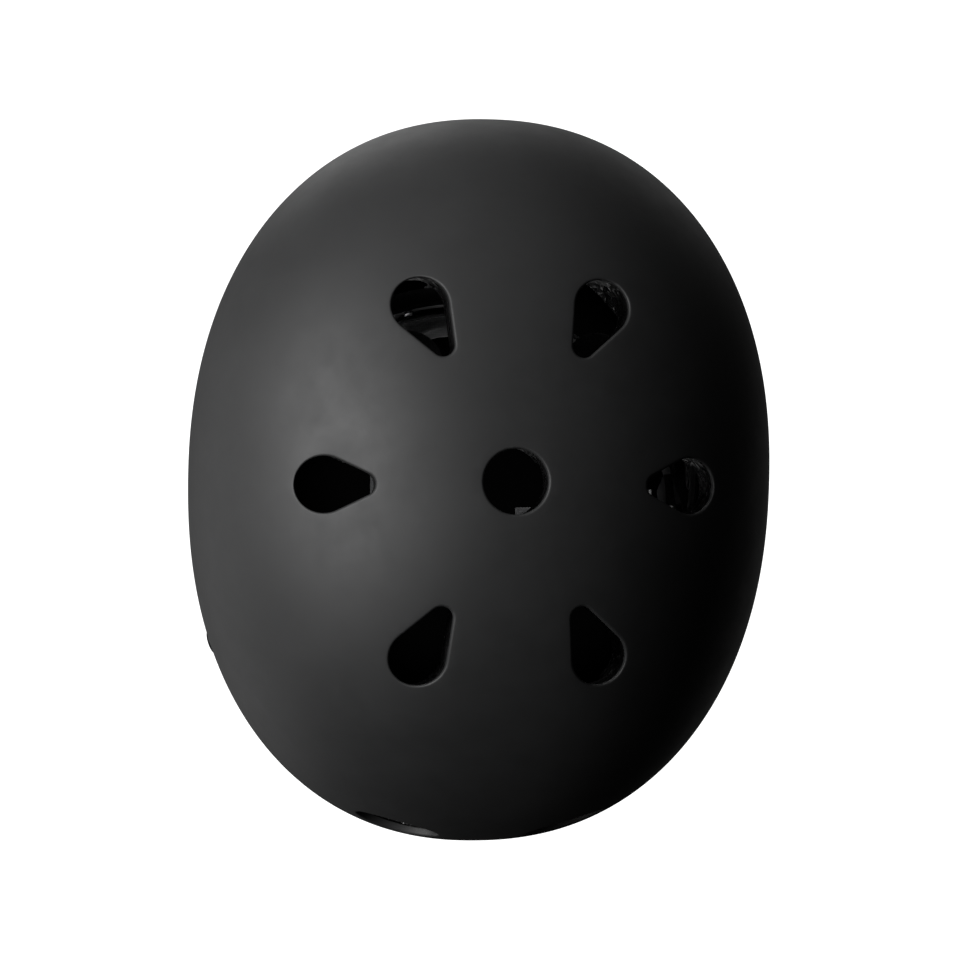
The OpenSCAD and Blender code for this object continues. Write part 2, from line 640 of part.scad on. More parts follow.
// One side of the chin loop as a flat outline: down from the divider, round, and along the bottom.
module loop_side(t, out = 0) {
    translate([divider_x - t / 2, -loop_drop]) square([t, chin_stop + loop_drop]);
    translate([loop_flat, -loop_drop]) arc_band(loop_r + out, t, -90, 0);
}
module left_chin_strap() color(webbing_black) chin_frame() across_loop(web_w) difference() {
    union() {
        loop_side(web_t);
        translate([socket_bar_x, -strap_drop]) hull() {
            circle(eye_r + web_t, $fn = 32);
            translate([loop_flat - socket_bar_x, -web_t / 2]) square([0.1, web_t]);
        }
    }
    translate([socket_bar_x, -strap_drop]) hull() {
        circle(eye_r, $fn = 32);
        translate([loop_flat - socket_bar_x - 3.5, -0.05]) square([0.1, 0.1]);
    }
}
tail_gap = 0.25;
tail_turn = 40;     // how far the loose tail follows the loop's corner
tail_out = web_t + tail_gap;
layer = eye_r + web_t / 2;  // height of a strap layer over a bar's axis
split_x = ladder_bar_x - 2; // beyond this the layers close up
join_x = -loop_flat + 8;
// A band of even thickness that follows a bent line, as one outline.
module bent_line(line, t) {
    sides = [for (i = [0:len(line) - 1])
        let (d = unit(line[min(i + 1, len(line) - 1)] - line[max(i - 1, 0)])) t / 2 * [-d[1], d[0]]];
    polygon([for (i = [0:len(line) - 1]) line[i] + sides[i],
        for (i = [len(line) - 1:-1:0]) line[i] - sides[i]]);
}
function arc_points(centre, r, from, to, steps) = [for (i = [0:steps])
    let (a = from + (to - from) * i / steps) centre + r * [cos(a), sin(a)]];
// Down from the right divider, over the ladder bar, round the plug's bar and back as the loose tail.
right_chin_line = concat([[-divider_x, chin_stop]],
    arc_points([-loop_flat, -loop_drop], loop_r, 180, 270, 24),
    [[join_x, -strap_drop], [split_x, layer - strap_drop]],
    arc_points([plug_bar_x, -strap_drop], layer, 90, -90, 16),
    [[split_x, -layer - strap_drop], [join_x, -tail_out - strap_drop]],
    arc_points([-loop_flat, -loop_drop], loop_r + tail_out, 270, 270 - tail_turn, 11));
module right_chin_strap() color(webbing_black) chin_frame() across_loop(web_w)
    bent_line(right_chin_line, web_t);
keeper_x = join_x - 6;
keeper_l = 4;
keeper_wall = 1.2;
module tail_keeper() color(black) buckle_frame()
    translate([keeper_x, 0, -tail_out / 2]) difference() {
        cube([keeper_l, web_w + 0.4 + 2 * keeper_wall, 2 * web_t + tail_gap + 0.4 + 2 * keeper_wall],
            center = true);
        cube([keeper_l + 1, web_w + 0.4, 2 * web_t + tail_gap + 0.4], center = true);
    }
chin_pad_t = 3.2;
chin_pad_from = -84; // where the pad's sleeve starts and ends on the loop's corner
chin_pad_to = -22;
module chin_pad() color(pad_grey) chin_frame() translate([loop_flat, 0, -loop_drop]) difference() {
    across_loop(web_w + 6) arc_band(loop_r, web_t + 0.6 + 2 * chin_pad_t, chin_pad_from, chin_pad_to);
    across_loop(web_w + 0.6) arc_band(loop_r, web_t + 0.6, chin_pad_from - 11, chin_pad_to + 12);
}

module buckle_socket() color(buckle_black) buckle_frame() difference() {
    union() {
        difference() {
            translate([0, 0, -buckle_t / 2]) linear_extrude(buckle_t) translate([0, -buckle_w / 2])
                offset(2, $fn = 24) translate([2, 2]) square([socket_l - 4, buckle_w - 4]);
            translate([-1, -cavity_w / 2, -buckle_t / 2 + socket_wall])
                cube([cavity_l + 1, cavity_w, buckle_t - 2 * socket_wall]);
            translate([cavity_l + 2, -frame_w / 2, -buckle_t]) cube([socket_l, frame_w, 2 * buckle_t]);
            for (s = [-1, 1]) translate([catch_x - sliding, s * buckle_w / 2, 0])
                translate([0, -socket_wall - 1, -prong_t / 2 - sliding])
                    cube([catch_l + 2 * sliding, 2 * socket_wall + 2, prong_t + 2 * sliding]);
        }
        translate([socket_bar_x, 0, 0]) rotate([90, 0, 0])
            cylinder(h = frame_w + 1, r = bar_r, center = true);
    }
    translate([socket_l, -buckle_w, -buckle_t]) cube([2, 2 * buckle_w, 2 * buckle_t]);
}
module buckle_plug() color(buckle_black) buckle_frame() {
    difference() {
        translate([-ladder_l, -buckle_w / 2, -plug_t / 2]) cube([ladder_l - sliding, buckle_w, plug_t]);
        translate([-ladder_l - 1, -frame_w / 2, -plug_t]) cube([ladder_l + plug_bar_x + eye_r + web_t + 1.4,
            frame_w, 2 * plug_t]);
    }
    for (x = [plug_bar_x, ladder_bar_x]) translate([x, 0, 0]) rotate([90, 0, 0])
        cylinder(h = frame_w + 1, r = bar_r, center = true);
    translate([-sliding - 0.5, -tongue_w / 2, -prong_t / 2]) cube([prong_l - 3, tongue_w, prong_t]);
}
module buckle_prongs() color(buckle_black) buckle_frame() for (s = [-1, 1])
    mirror([0, s > 0 ? 0 : 1, 0]) translate([0, 0, -prong_t / 2]) linear_extrude(prong_t) {
        side = cavity_w / 2 - prong_gap;
        polygon([[-sliding, side - prong_w], [-sliding, side], [catch_x, side],
            [catch_x, side + socket_wall + prong_gap], [catch_x + 3, side + socket_wall + prong_gap],
            [catch_x + catch_l, side], [prong_l - 1.5, side], [prong_l, side - 1.5],
            [prong_l, side - prong_w]]);
    }

module temple_anchor() color(buckle_black) translate([0, pin_y, pin_z]) rotate([0, -90, 0]) {
    face = wall_x + anchor_sink - seat;
    pin_tip = guide_out - guide_t - cap_t + 0.5;
    translate([0, 0, -face]) cylinder(h = flange_t, r = flange_r);
    translate([0, 0, -face]) cylinder(h = face - guide_out - sliding, r = boss_r);
    translate([0, 0, -face]) cylinder(h = face - pin_tip, r = temple_pin_r);
}
module pin_cap() color(buckle_black) translate([0, pin_y, pin_z]) rotate([0, -90, 0]) difference() {
    translate([0, 0, -guide_out + guide_t + sliding]) cylinder(h = cap_t, r = cap_r);
    translate([0, 0, -guide_out]) cylinder(h = guide_t + sliding + cap_t - 0.4, r = temple_pin_r + running);
}
module temple_guide() color(buckle_black) difference() {
    union() {
        cradle_frame() translate([guide_out - guide_t, 0, 0]) rotate([90, 0, 90])
            linear_extrude(guide_t) hull() {
                circle(guide_r);
                translate([band_set_back + 2, -band_drop + band_w / 2 + 0.5]) circle(2, $fn = 24);
                translate([band_set_back - 6, -band_drop]) circle(2, $fn = 24);
            }
        nape_frame() ring_sector(band_in - guide_play_in - guide_wall,
            band_out + guide_play_out + guide_wall, -band_w / 2 - guide_wall - sliding,
            band_w / 2 + guide_wall + sliding, guide_from, guide_to);
    }
    nape_frame() ring_sector(band_in - guide_play_in, band_out + guide_play_out,
        -band_w / 2 - sliding, band_w / 2 + sliding, 3 * guide_from, 3 * guide_to);
    translate([0, pin_y, pin_z]) rotate([0, 90, 0]) cylinder(h = shell_width, r = temple_pin_r + running);
}
module left_temple_anchor() temple_anchor();
module right_temple_anchor() mirror([1, 0, 0]) temple_anchor();
module left_pin_cap() pin_cap();
module right_pin_cap() mirror([1, 0, 0]) pin_cap();
module left_temple_guide() temple_guide();
module right_temple_guide() mirror([1, 0, 0]) temple_guide();

// The gap between two rack teeth, as lengthways by height.
module tooth_gap(slope = tan(20)) {
    half = (tooth_pitch + 2 * backlash) / 4;
    low = pinion_r - rack_low + 0.1;
    polygon([[-half - low * slope, pinion_r - low], [half + low * slope, pinion_r - low],
        [half - dedendum * slope, pinion_r + dedendum], [-half + dedendum * slope, pinion_r + dedendum]]);
}
// An arm is one strip, cut down to the rack's height over its back end.
module band_arm() difference() {
    ring_sector(band_in, band_out, -band_w / 2, rack_high, band_front, 90 + arc_angle(rack_past));
    ring_sector(band_in - 1, band_out + 1, band_w / 2, rack_high + 1, band_front - 3,
        90 - arc_angle(rack_start + rack_overlap));
    ring_sector(band_in - 1, band_out + 1, -band_w, rack_low, 90 - arc_angle(rack_start),
        90 + arc_angle(rack_past + rack_overlap));
    for (k = [-(rack_teeth - 1) / 2:(rack_teeth - 1) / 2]) rotate(arc_angle(k * tooth_pitch))
        translate([0, band_r, 0]) rotate([90, 0, 0])
            linear_extrude(2 * band_t, center = true) tooth_gap();
}
module left_band() color(black) nape_frame() band_arm();
module right_band() color(black) nape_frame() rotate([0, 180, 0]) band_arm();

module housing_holes(r) for (s = [-1, 1]) for (t = [-1, 1]) nape_frame() rotate(s * screw_angle)
    translate([0, plate_in, t * screw_z]) rotate([-90, 0, 0]) cylinder(h = screw_l + 1, r = r, $fn = 24);
module dial_housing() color(buckle_black) difference() {
    nape_frame() difference() {
        ring_sector(cavity_in, housing_out, -housing_h, housing_h, 90 - housing_span, 90 + housing_span);
        ring_sector(cavity_in - 1, cavity_out, -cavity_h, cavity_h, 80 - housing_span, 100 + housing_span);
    }
    dial_axis() cylinder(h = knob_back, r = shaft_r + running);
    housing_holes(screw_r + running);
}
module housing_plate() color(buckle_black) difference() {
    nape_frame() ring_sector(plate_in, plate_out, -housing_h, housing_h,
        90 - housing_span, 90 + housing_span);
    dial_axis() translate([0, 0, plate_in - band_r - plate_t])
        cylinder(h = 3 * plate_t, r = shaft_r + sliding - seat);
    housing_holes(screw_r + running);
}
module housing_screws() color(steel) for (s = [-1, 1]) for (t = [-1, 1])
    nape_frame() rotate(s * screw_angle) translate([0, plate_in, t * screw_z]) rotate([-90, 0, 0]) {
        translate([0, 0, -seat - screw_head_t]) cylinder(h = screw_head_t, r = screw_head_r, $fn = 24);
        translate([0, 0, -screw_lift]) cylinder(h = screw_l, r = screw_r, $fn = 24);
    }
nape_pad_t = 5;
nape_pad_edge = 2;  // the pad stops short of the plate's upper and lower edges
nape_pad_out = plate_in - seat - screw_head_t - seat - 0.2;
module nape_pad() color(pad_grey) nape_frame() ring_sector(nape_pad_out - nape_pad_t, nape_pad_out,
    -housing_h + nape_pad_edge, housing_h - nape_pad_edge, 90 - housing_span, 90 + housing_span);

module dial_knob() color(black) dial_axis() {
    translate([0, 0, knob_back - band_r]) linear_extrude(knob_l) difference() {
        circle(knob_r);
        for (k = [1:knob_ribs]) rotate(360 * k / knob_ribs) translate([knob_r + 0.5, 0])
            circle(1.2, $fn = 16);
    }
    difference() {
        translate([0, 0, pinion_t / 2 + seat]) cylinder(h = knob_back - band_r - pinion_t / 2, r = shaft_r);
        cylinder(h = knob_back - band_r, r = dial_screw_r + seat);
    }
}
module dial_pinion() color(steel) dial_axis() difference() {
    half = (tooth_pitch / 2 - backlash) / 2;
    top = pinion_r + addendum;
    root = pinion_r - dedendum;
    half_top = half - addendum * tan(24);
    half_root = half + dedendum * tan(8);
    linear_extrude(pinion_t, center = true) polygon([for (k = [0:pinion_teeth - 1])
        for (q = [[root, -half_root], [pinion_r, -half], [top, -half_top], [top, half_top],
                [pinion_r, half], [root, half_root]])
            let (a = 90 + 360 * k / pinion_teeth + q[1] / q[0] * 180 / PI) q[0] * [cos(a), sin(a)]]);
    cylinder(h = 2 * pinion_t, r = dial_screw_r + seat, center = true);
}
module dial_screw() color(steel) dial_axis() {
    translate([0, 0, -pinion_t / 2 - seat - 1.5]) cylinder(h = 1.5, r = 2.4);
    translate([0, 0, -pinion_t / 2 - seat - 1]) cylinder(h = knob_back - band_r + 1, r = dial_screw_r);
}
module dial_washer() color(steel) dial_axis() translate([0, 0, housing_out - band_r + washer_gap])
    difference() {
        cylinder(h = dial_washer_t, r = 2 * shaft_r);
        translate([0, 0, -1]) cylinder(h = dial_washer_t + 2, r = shaft_r + seat);
    }

outer_shell();
foam_liner();
brow_pad();
left_side_pad();
right_side_pad();
left_crown_pad();
right_crown_pad();
back_pad();
strap_rivets();
rivet_washers();
left_front_strap();
left_rear_strap();
right_front_strap();
right_rear_strap();
left_divider();
right_divider();
left_lever();
right_lever();
left_chin_strap();
right_chin_strap();
chin_pad();
tail_keeper();
buckle_socket();
buckle_plug();
buckle_prongs();
left_temple_anchor();
right_temple_anchor();
left_pin_cap();
right_pin_cap();
left_temple_guide();
right_temple_guide();
left_band();
right_band();
dial_housing();
housing_plate();
housing_screws();
nape_pad();
dial_knob();
dial_pinion();
dial_screw();
dial_washer();
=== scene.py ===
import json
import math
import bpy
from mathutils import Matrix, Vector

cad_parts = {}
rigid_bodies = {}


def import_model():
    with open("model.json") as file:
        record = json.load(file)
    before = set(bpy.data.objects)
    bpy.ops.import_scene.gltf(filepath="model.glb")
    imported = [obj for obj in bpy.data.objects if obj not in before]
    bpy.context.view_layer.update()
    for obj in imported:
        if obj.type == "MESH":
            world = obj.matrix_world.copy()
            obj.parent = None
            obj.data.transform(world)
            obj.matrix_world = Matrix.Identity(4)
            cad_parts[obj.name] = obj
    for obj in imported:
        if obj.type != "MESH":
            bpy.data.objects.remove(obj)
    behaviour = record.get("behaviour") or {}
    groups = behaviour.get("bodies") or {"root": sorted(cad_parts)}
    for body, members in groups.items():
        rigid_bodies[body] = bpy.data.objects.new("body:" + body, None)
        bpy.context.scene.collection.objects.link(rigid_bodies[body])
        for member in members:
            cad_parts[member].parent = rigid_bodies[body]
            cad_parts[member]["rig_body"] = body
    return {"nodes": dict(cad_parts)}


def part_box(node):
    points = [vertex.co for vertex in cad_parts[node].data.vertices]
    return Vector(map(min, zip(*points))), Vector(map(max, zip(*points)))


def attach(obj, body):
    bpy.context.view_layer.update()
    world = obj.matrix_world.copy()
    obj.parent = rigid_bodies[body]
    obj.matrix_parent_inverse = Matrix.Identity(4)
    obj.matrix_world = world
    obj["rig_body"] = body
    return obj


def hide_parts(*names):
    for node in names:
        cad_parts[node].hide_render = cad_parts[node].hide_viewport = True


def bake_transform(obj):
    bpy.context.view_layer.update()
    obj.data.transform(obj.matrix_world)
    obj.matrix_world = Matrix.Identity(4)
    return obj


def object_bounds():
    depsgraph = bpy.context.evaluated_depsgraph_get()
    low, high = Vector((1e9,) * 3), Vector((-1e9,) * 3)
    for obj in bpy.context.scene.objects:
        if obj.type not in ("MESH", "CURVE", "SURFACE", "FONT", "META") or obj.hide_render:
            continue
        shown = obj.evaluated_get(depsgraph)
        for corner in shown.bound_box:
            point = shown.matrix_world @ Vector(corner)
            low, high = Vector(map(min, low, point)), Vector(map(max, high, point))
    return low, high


bl_info = {
    "name": "Bicycle helmet",
    "version": (1, 0, 0),
    "blender": (4, 5, 0),
    "location": "3D View > Sidebar > Helmet",
    "description": "Dresses a hard-shell bicycle helmet: shell, foam, pads, webbing, buckle and dial cradle",
    "category": "Object",
}

import bmesh
import bpy
import numpy as np
from bpy.props import FloatProperty, FloatVectorProperty, IntProperty, PointerProperty
from mathutils import Matrix, Vector
from mathutils.geometry import delaunay_2d_cdt

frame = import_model()
CAD_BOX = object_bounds()
SHELL_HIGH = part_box("outer_shell")[1]
MM = 0.001

# The frame's own sizes, in metres and radians.
OUTER = np.array([SHELL_HIGH.x, SHELL_HIGH.y, SHELL_HIGH.z])
SHELL_WALL = 3 * MM
LINER_GAP = 0.3 * MM
LINER = np.array([20, 24, 22]) * MM
PAD_GAP = 0.3 * MM
PAD_THICK = 6 * MM
EQUATOR_RISE = 18 * MM
PLAN_POWER = 2.2
TUCK = 150 * MM
RIM_KEYS = [(-90, -34 * MM), (-42, -44 * MM), (8, -27 * MM), (52, -50 * MM), (90, -56 * MM)]
LINER_RECESS = 4 * MM
CHANNEL_DEPTH = 5 * MM
CHANNEL_WIDTH = 14 * MM
VENT_STEP = 1 * MM
POCKET_DEPTH = 8.1 * MM
ANCHOR_R = 11.3 * MM
RIM_ROLL, RIM_DEPTH = 1.6 * MM, 50 * MM
CROWN_VENT_R = 11.2 * MM
DROP_R, DROP_TIP_R = 9.8 * MM, 4 * MM
SIDE_DROP = np.array([63.8, -1]) * MM
CORNER_DROP = np.array([31.5, 60.4]) * MM
DROPS = [(SIDE_DROP * (s, 1), 13 * MM, math.pi if s > 0 else 0.0) for s in (-1, 1)]
DROPS += [(CORNER_DROP * (s, t), 15.7 * MM, math.atan2(-t * CORNER_DROP[1], -s * CORNER_DROP[0]))
          for s in (-1, 1) for t in (-1, 1)]
END_VENTS = [(math.radians(a), z * MM) for a, z in ((-104, 10), (-76, 10), (75, -4), (105, -4))]
END_VENT_HALF = (15.5 * MM, 10 * MM)
VENT_FLOOR = 40 * MM
WEB_W, WEB_T = 15 * MM, 1.6 * MM
DIVIDER = np.array([75.5, -10, -118]) * MM
STRAP_MEET = 10 * MM
DIVIDER_REACH = 21 * MM
STRAP_STOP = 12.5 * MM
LEANS = {"front": (math.radians(-30), (-60 * MM, -28 * MM), 0.22),
         "rear": (math.radians(38), (58 * MM, -24 * MM), 0.17)}
STRAP_DROP = 72 * MM
LOOP_FLAT = 36 * MM
LOOP_R = 39.5 * MM
LOOP_DROP = STRAP_DROP - LOOP_R
LOOP_LEAN = math.asin(8 / 72)
CRADLE_PITCH = math.radians(24)
PIN = np.array([0, -12, -10]) * MM
BAND_R = 80 * MM
NAPE_OFFSET = np.array([0, 16, -14]) * MM


# Domes

def equator(az):
    return EQUATOR_RISE * np.sin(az)


def rim(az):
    """Height of the rim round the helmet, which waves from brow to temple, ear and nape."""
    side = np.degrees(np.arcsin(np.clip(np.sin(az), -1, 1)))
    height = np.full_like(side, RIM_KEYS[0][1])
    for (a, low), (b, high) in zip(RIM_KEYS, RIM_KEYS[1:]):
        part = np.clip((side - a) / (b - a), 0, 1)
        height = np.where(side >= a, low + (high - low) * (1 - np.cos(math.pi * part)) / 2, height)
    return height


class Dome:
    """One face of the shell, the foam or the pads, given by half width, half length and crown height."""

    def __init__(self, sizes, lift=0.0):
        self.a, self.b, self.c = sizes
        self.lift = lift

    def inset(self, sizes):
        return Dome(np.array([self.a, self.b, self.c]) - sizes, self.lift)

    def plan(self, az):
        powers = np.abs(np.cos(az) / self.a) ** PLAN_POWER + np.abs(np.sin(az) / self.b) ** PLAN_POWER
        return powers ** (-1 / PLAN_POWER)

    def at(self, az, t):
        """Points at an azimuth and a way down: 0 at the crown, 1 at the widest section, 2 at the rim."""
        az, t = np.broadcast_arrays(np.asarray(az, float), np.asarray(t, float))
        e, r = equator(az), self.plan(az)
        down = np.clip(t, 0, 1) * math.pi / 2
        z_low = e + (rim(az) + self.lift - e) * (np.maximum(t, 1) - 1)
        z = np.where(t <= 1, e + (self.c - e) * np.cos(down), z_low)
        rho = np.where(t <= 1, r * np.sin(down), r * np.sqrt(np.maximum(0, 1 - ((z_low - e) / TUCK) ** 2)))
        return np.stack([rho * np.cos(az), rho * np.sin(az), z], -1)

    def way(self, p):
        """Azimuth and way down of points on the dome."""
        p = np.asarray(p, float)
        az = np.arctan2(p[..., 1], p[..., 0])
        e = equator(az)
        share = np.clip((p[..., 2] - e) / (self.c - e), -1, 1)
        low = 1 + (p[..., 2] - e) / (rim(az) + self.lift - e)
        return az, np.where(p[..., 2] > e, np.arccos(np.maximum(share, 0)) / (math.pi / 2), low)

    def level(self, p):
        az = np.arctan2(p[..., 1], p[..., 0])
        e = equator(az)
        half = np.where(p[..., 2] > e, self.c - e, TUCK)
        return (np.hypot(p[..., 0], p[..., 1]) / self.plan(az)) ** 2 + ((p[..., 2] - e) / half) ** 2

    def normal(self, p):
        p = np.asarray(p, float)
        steps = np.eye(3) * 5e-5
        return unit(np.stack([self.level(p + d) - self.level(p - d) for d in steps], -1))

    def over(self, x, y):
        """Points straight above places in plan."""
        x, y = np.asarray(x, float), np.asarray(y, float)
        az = np.arctan2(y, x)
        e = equator(az)
        share = np.hypot(x, y) / self.plan(az)
        return np.stack([x, y, e + (self.c - e) * np.sqrt(np.maximum(0, 1 - share ** 2))], -1)

    def out_to(self, across, z, towards):
        """Points at a height, reached along a level direction from a place beside the axis."""
        across, z = np.broadcast_arrays(np.asarray(across, float), np.asarray(z, float))
        along = np.full_like(across, 0.08)
        for _ in range(14):
            az = towards + np.arctan2(across, along)
            e = equator(az)
            half = np.where(z > e, self.c - e, TUCK)
            r = self.plan(az) * np.sqrt(np.maximum(0, 1 - ((z - e) / half) ** 2))
            along = np.sqrt(np.maximum(1e-6, r ** 2 - across ** 2))
        c, s = math.cos(towards), math.sin(towards)
        return np.stack([c * along - s * across, s * along + c * across, z], -1)


outer_dome = Dome(OUTER)
inner_dome = outer_dome.inset(SHELL_WALL)
foam_dome = Dome(OUTER - SHELL_WALL - LINER_GAP, LINER_RECESS)
cavity_dome = foam_dome.inset(LINER)
pad_dome = cavity_dome.inset(PAD_GAP)
channel_dome = cavity_dome.inset(-CHANNEL_DEPTH)


def unit(v):
    v = np.asarray(v, float)
    return v / np.linalg.norm(v, axis=-1, keepdims=True)


# Outlines

def circle(count):
    a = np.arange(count) * 2 * math.pi / count
    return np.stack([np.cos(a), np.sin(a)], -1)


def run_along(path):
    """Distance walked along a path at each of its points."""
    return np.concatenate([[0], np.cumsum(np.linalg.norm(np.diff(path, axis=0), axis=1))])


def sampled(path, run, at):
    return np.stack([np.interp(at, run, column) for column in path.T], -1)


def drop_outline(place, reach, turn, wide, tip):
    """A teardrop in plan with its wide end at a place. It has as many points at any size."""
    half = math.acos((wide - tip) / reach)
    arcs = []
    for x, r, a, b, n in ((0.0, wide, half, 2 * math.pi - half, 44), (reach, tip, -half, half, 14)):
        ang = np.linspace(a, b, n)
        arcs.append(np.stack([x + r * np.cos(ang), r * np.sin(ang)], -1))
    share = np.linspace(0, 1, 12)[1:-1, None]
    sides = [a[-1] + (b[0] - a[-1]) * share for a, b in (arcs, arcs[::-1])]
    pts = np.concatenate([arcs[0], sides[0], arcs[1], sides[1]])
    c, s = math.cos(turn), math.sin(turn)
    return pts @ np.array([[c, s], [-s, c]]) + np.array(place)


def oval_outline(half_w, half_h):
    return circle(72) * (half_w, half_h)


def soft_box(width, height, corner):
    """A box outline with round corners, walked in even steps."""
    step = 1.8 * MM
    w, h, pts = width / 2 - corner, height / 2 - corner, []
    for x, y, a in ((w, h, 0), (-w, h, 90), (-w, -h, 180), (w, -h, 270)):
        ang = np.radians(np.linspace(a, a + 90, max(5, int(corner * math.pi / 2 / step) + 1)))
        pts.append(np.stack([x + corner * np.cos(ang), y + corner * np.sin(ang)], -1))
    return even(np.concatenate(pts), step)


def even(pts, step):
    """Walks a closed outline in even steps."""
    closed = np.concatenate([pts, pts[:1]])
    run = run_along(closed)
    return sampled(closed, run, np.linspace(0, run[-1], max(8, int(run[-1] / step)), endpoint=False))


def inside(pts, loop):
    """Which points lie inside a closed outline."""
    x, y = pts[:, 0, None], pts[:, 1, None]
    x1, y1 = loop[:, 0], loop[:, 1]
    x2, y2 = np.roll(x1, -1), np.roll(y1, -1)
    crosses = (y1 > y) != (y2 > y)
    with np.errstate(divide="ignore", invalid="ignore"):
        left = x < x1 + (y - y1) * (x2 - x1) / (y2 - y1)
    return (crosses & left).sum(1) % 2 == 1


def edge_distance(pts, loop):
    """Distance of points from a closed outline."""
    a, b = loop, np.roll(loop, -1, 0)
    d = b - a
    t = np.clip(((pts[:, None] - a) * d).sum(-1) / (d ** 2).sum(-1), 0, 1)
    return np.linalg.norm(pts[:, None] - (a + t[..., None] * d), axis=-1).min(1)


def triangulate(points, loops):
    """Triangles over points in a plane, with outlines kept as edges."""
    coords, edges = [Vector(p) for p in points], []
    for first, count in loops:
        edges += [(first + k, first + (k + 1) % count) for k in range(count)]
    _, _, faces, origin, _, _ = delaunay_2d_cdt(coords, edges, [], 0, 1e-9)
    back = [o[0] if o else -1 for o in origin]
    return [tuple(back[v] for v in f) for f in faces if all(back[v] >= 0 for v in f)]


# Meshes

class Skin:
    """Gathers points and faces of one piece."""

    def __init__(self):
        self.points, self.faces, self.tags = [], [], []

    def add(self, pts, tag=0.0):
        first = len(self.points)
        self.points += [tuple(p) for p in np.asarray(pts, float)]
        self.tags += [tag] * (len(self.points) - first)
        return list(range(first, len(self.points)))

    def strip(self, a, b):
        n = len(a)
        for k in range(n):
            m = (k + 1) % n
            self.faces.append((a[k], a[m], b[m], b[k]))

    def bands(self, rows):
        for a, b in zip(rows, rows[1:]):
            self.strip(a, b)

    def fan(self, loop, centre):
        n = len(loop)
        self.faces += [(loop[k], loop[(k + 1) % n], centre) for k in range(n)]

    def object(self, name, material, smooth=True, sharp=None):
        mesh = bpy.data.meshes.new(name)
        mesh.from_pydata(self.points, [], self.faces)
        mesh.update()
        if any(self.tags):
            wear = mesh.attributes.new("edge", "FLOAT", "POINT")
            wear.data.foreach_set("value", np.array(self.tags, np.float32))
        return finish_mesh(mesh, name, material, smooth, sharp)


def placed(name, data):
    """A new object, linked into the scene."""
    made = bpy.data.objects.new(name, data)
    bpy.context.scene.collection.objects.link(made)
    return made


def finish_mesh(mesh, name, material, smooth=True, sharp=None):
    """Turns every face of a closed mesh outwards, shades it and makes its object."""
    bm = bmesh.new()
    bm.from_mesh(mesh)
    bmesh.ops.recalc_face_normals(bm, faces=bm.faces)
    bm.to_mesh(mesh)
    bm.free()
    if smooth:
        mesh.shade_smooth()
    else:
        mesh.shade_flat()
    if sharp:
        mesh.set_sharp_from_angle(angle=math.radians(sharp))
    mesh.materials.clear()
    if material:
        mesh.materials.append(material)
    return placed(name, mesh)


def evaluated_mesh(piece):
    """A plain mesh of a piece with its modifiers applied. The piece and its old mesh go."""
    bpy.context.view_layer.update()
    graph = bpy.context.evaluated_depsgraph_get()
    mesh = bpy.data.meshes.new_from_object(piece.evaluated_get(graph))
    old = piece.data
    bpy.data.objects.remove(piece)
    if old.users == 0:
        bpy.data.meshes.remove(old)
    return mesh


def joined(name, pieces):
    """One piece out of several, each with its own material."""
    bm = bmesh.new()
    materials = []
    for piece in pieces:
        part = piece.data
        offset = len(materials)
        materials += list(part.materials)
        before = len(bm.faces)
        bm.from_mesh(part)
        bm.faces.ensure_lookup_table()
        for face in bm.faces[before:]:
            face.material_index += offset
    mesh = bpy.data.meshes.new(name)
    bm.to_mesh(mesh)
    bm.free()
    for piece in pieces:
        bpy.data.objects.remove(piece)
    for m in materials:
        mesh.materials.append(m)
    return placed(name, mesh)


def body_of(node):
    return frame["nodes"][node]["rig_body"]


def settle(piece, slot, *nodes, body=None):
    """Lets a finished piece ride on its body and stand for its nodes."""
    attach(piece, body or body_of(nodes[0]))
    if nodes:
        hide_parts(*nodes)
    return piece


def softened(node, slot, width, extra=(), segments=2):
    """A frame node with its edges rounded, and with extra pieces joined to it."""
    mesh = frame["nodes"][node].data.copy()
    bm = bmesh.new()
    bm.from_mesh(mesh)
    bmesh.ops.remove_doubles(bm, verts=bm.verts, dist=2e-6)
    bmesh.ops.dissolve_limit(bm, angle_limit=math.radians(0.6), verts=bm.verts, edges=bm.edges)
    bm.to_mesh(mesh)
    bm.free()
    mesh.materials.clear()
    piece = placed(node + "_soft", mesh)
    bevel = piece.modifiers.new("Bevel", "BEVEL")
    bevel.width, bevel.segments, bevel.limit_method = width, segments, "ANGLE"
    bevel.angle_limit, bevel.use_clamp_overlap = math.radians(32), True
    made = finish_mesh(evaluated_mesh(piece), node + "_piece", material(slot), sharp=32)
    if extra:
        made = joined(node + "_piece", [made, *extra])
    return settle(made, slot, node)


# Materials

def add_node(tree, kind, inputs=None, **settings):
    """Adds a node, sets it, and sets or links its inputs."""
    made = tree.nodes.new(kind)
    for key, value in settings.items():
        setattr(made, key, value)
    for key, value in (inputs or {}).items():
        socket = made.inputs[key]
        if isinstance(value, bpy.types.NodeSocket):
            tree.links.new(value, socket)
        else:
            socket.default_value = value
    return made


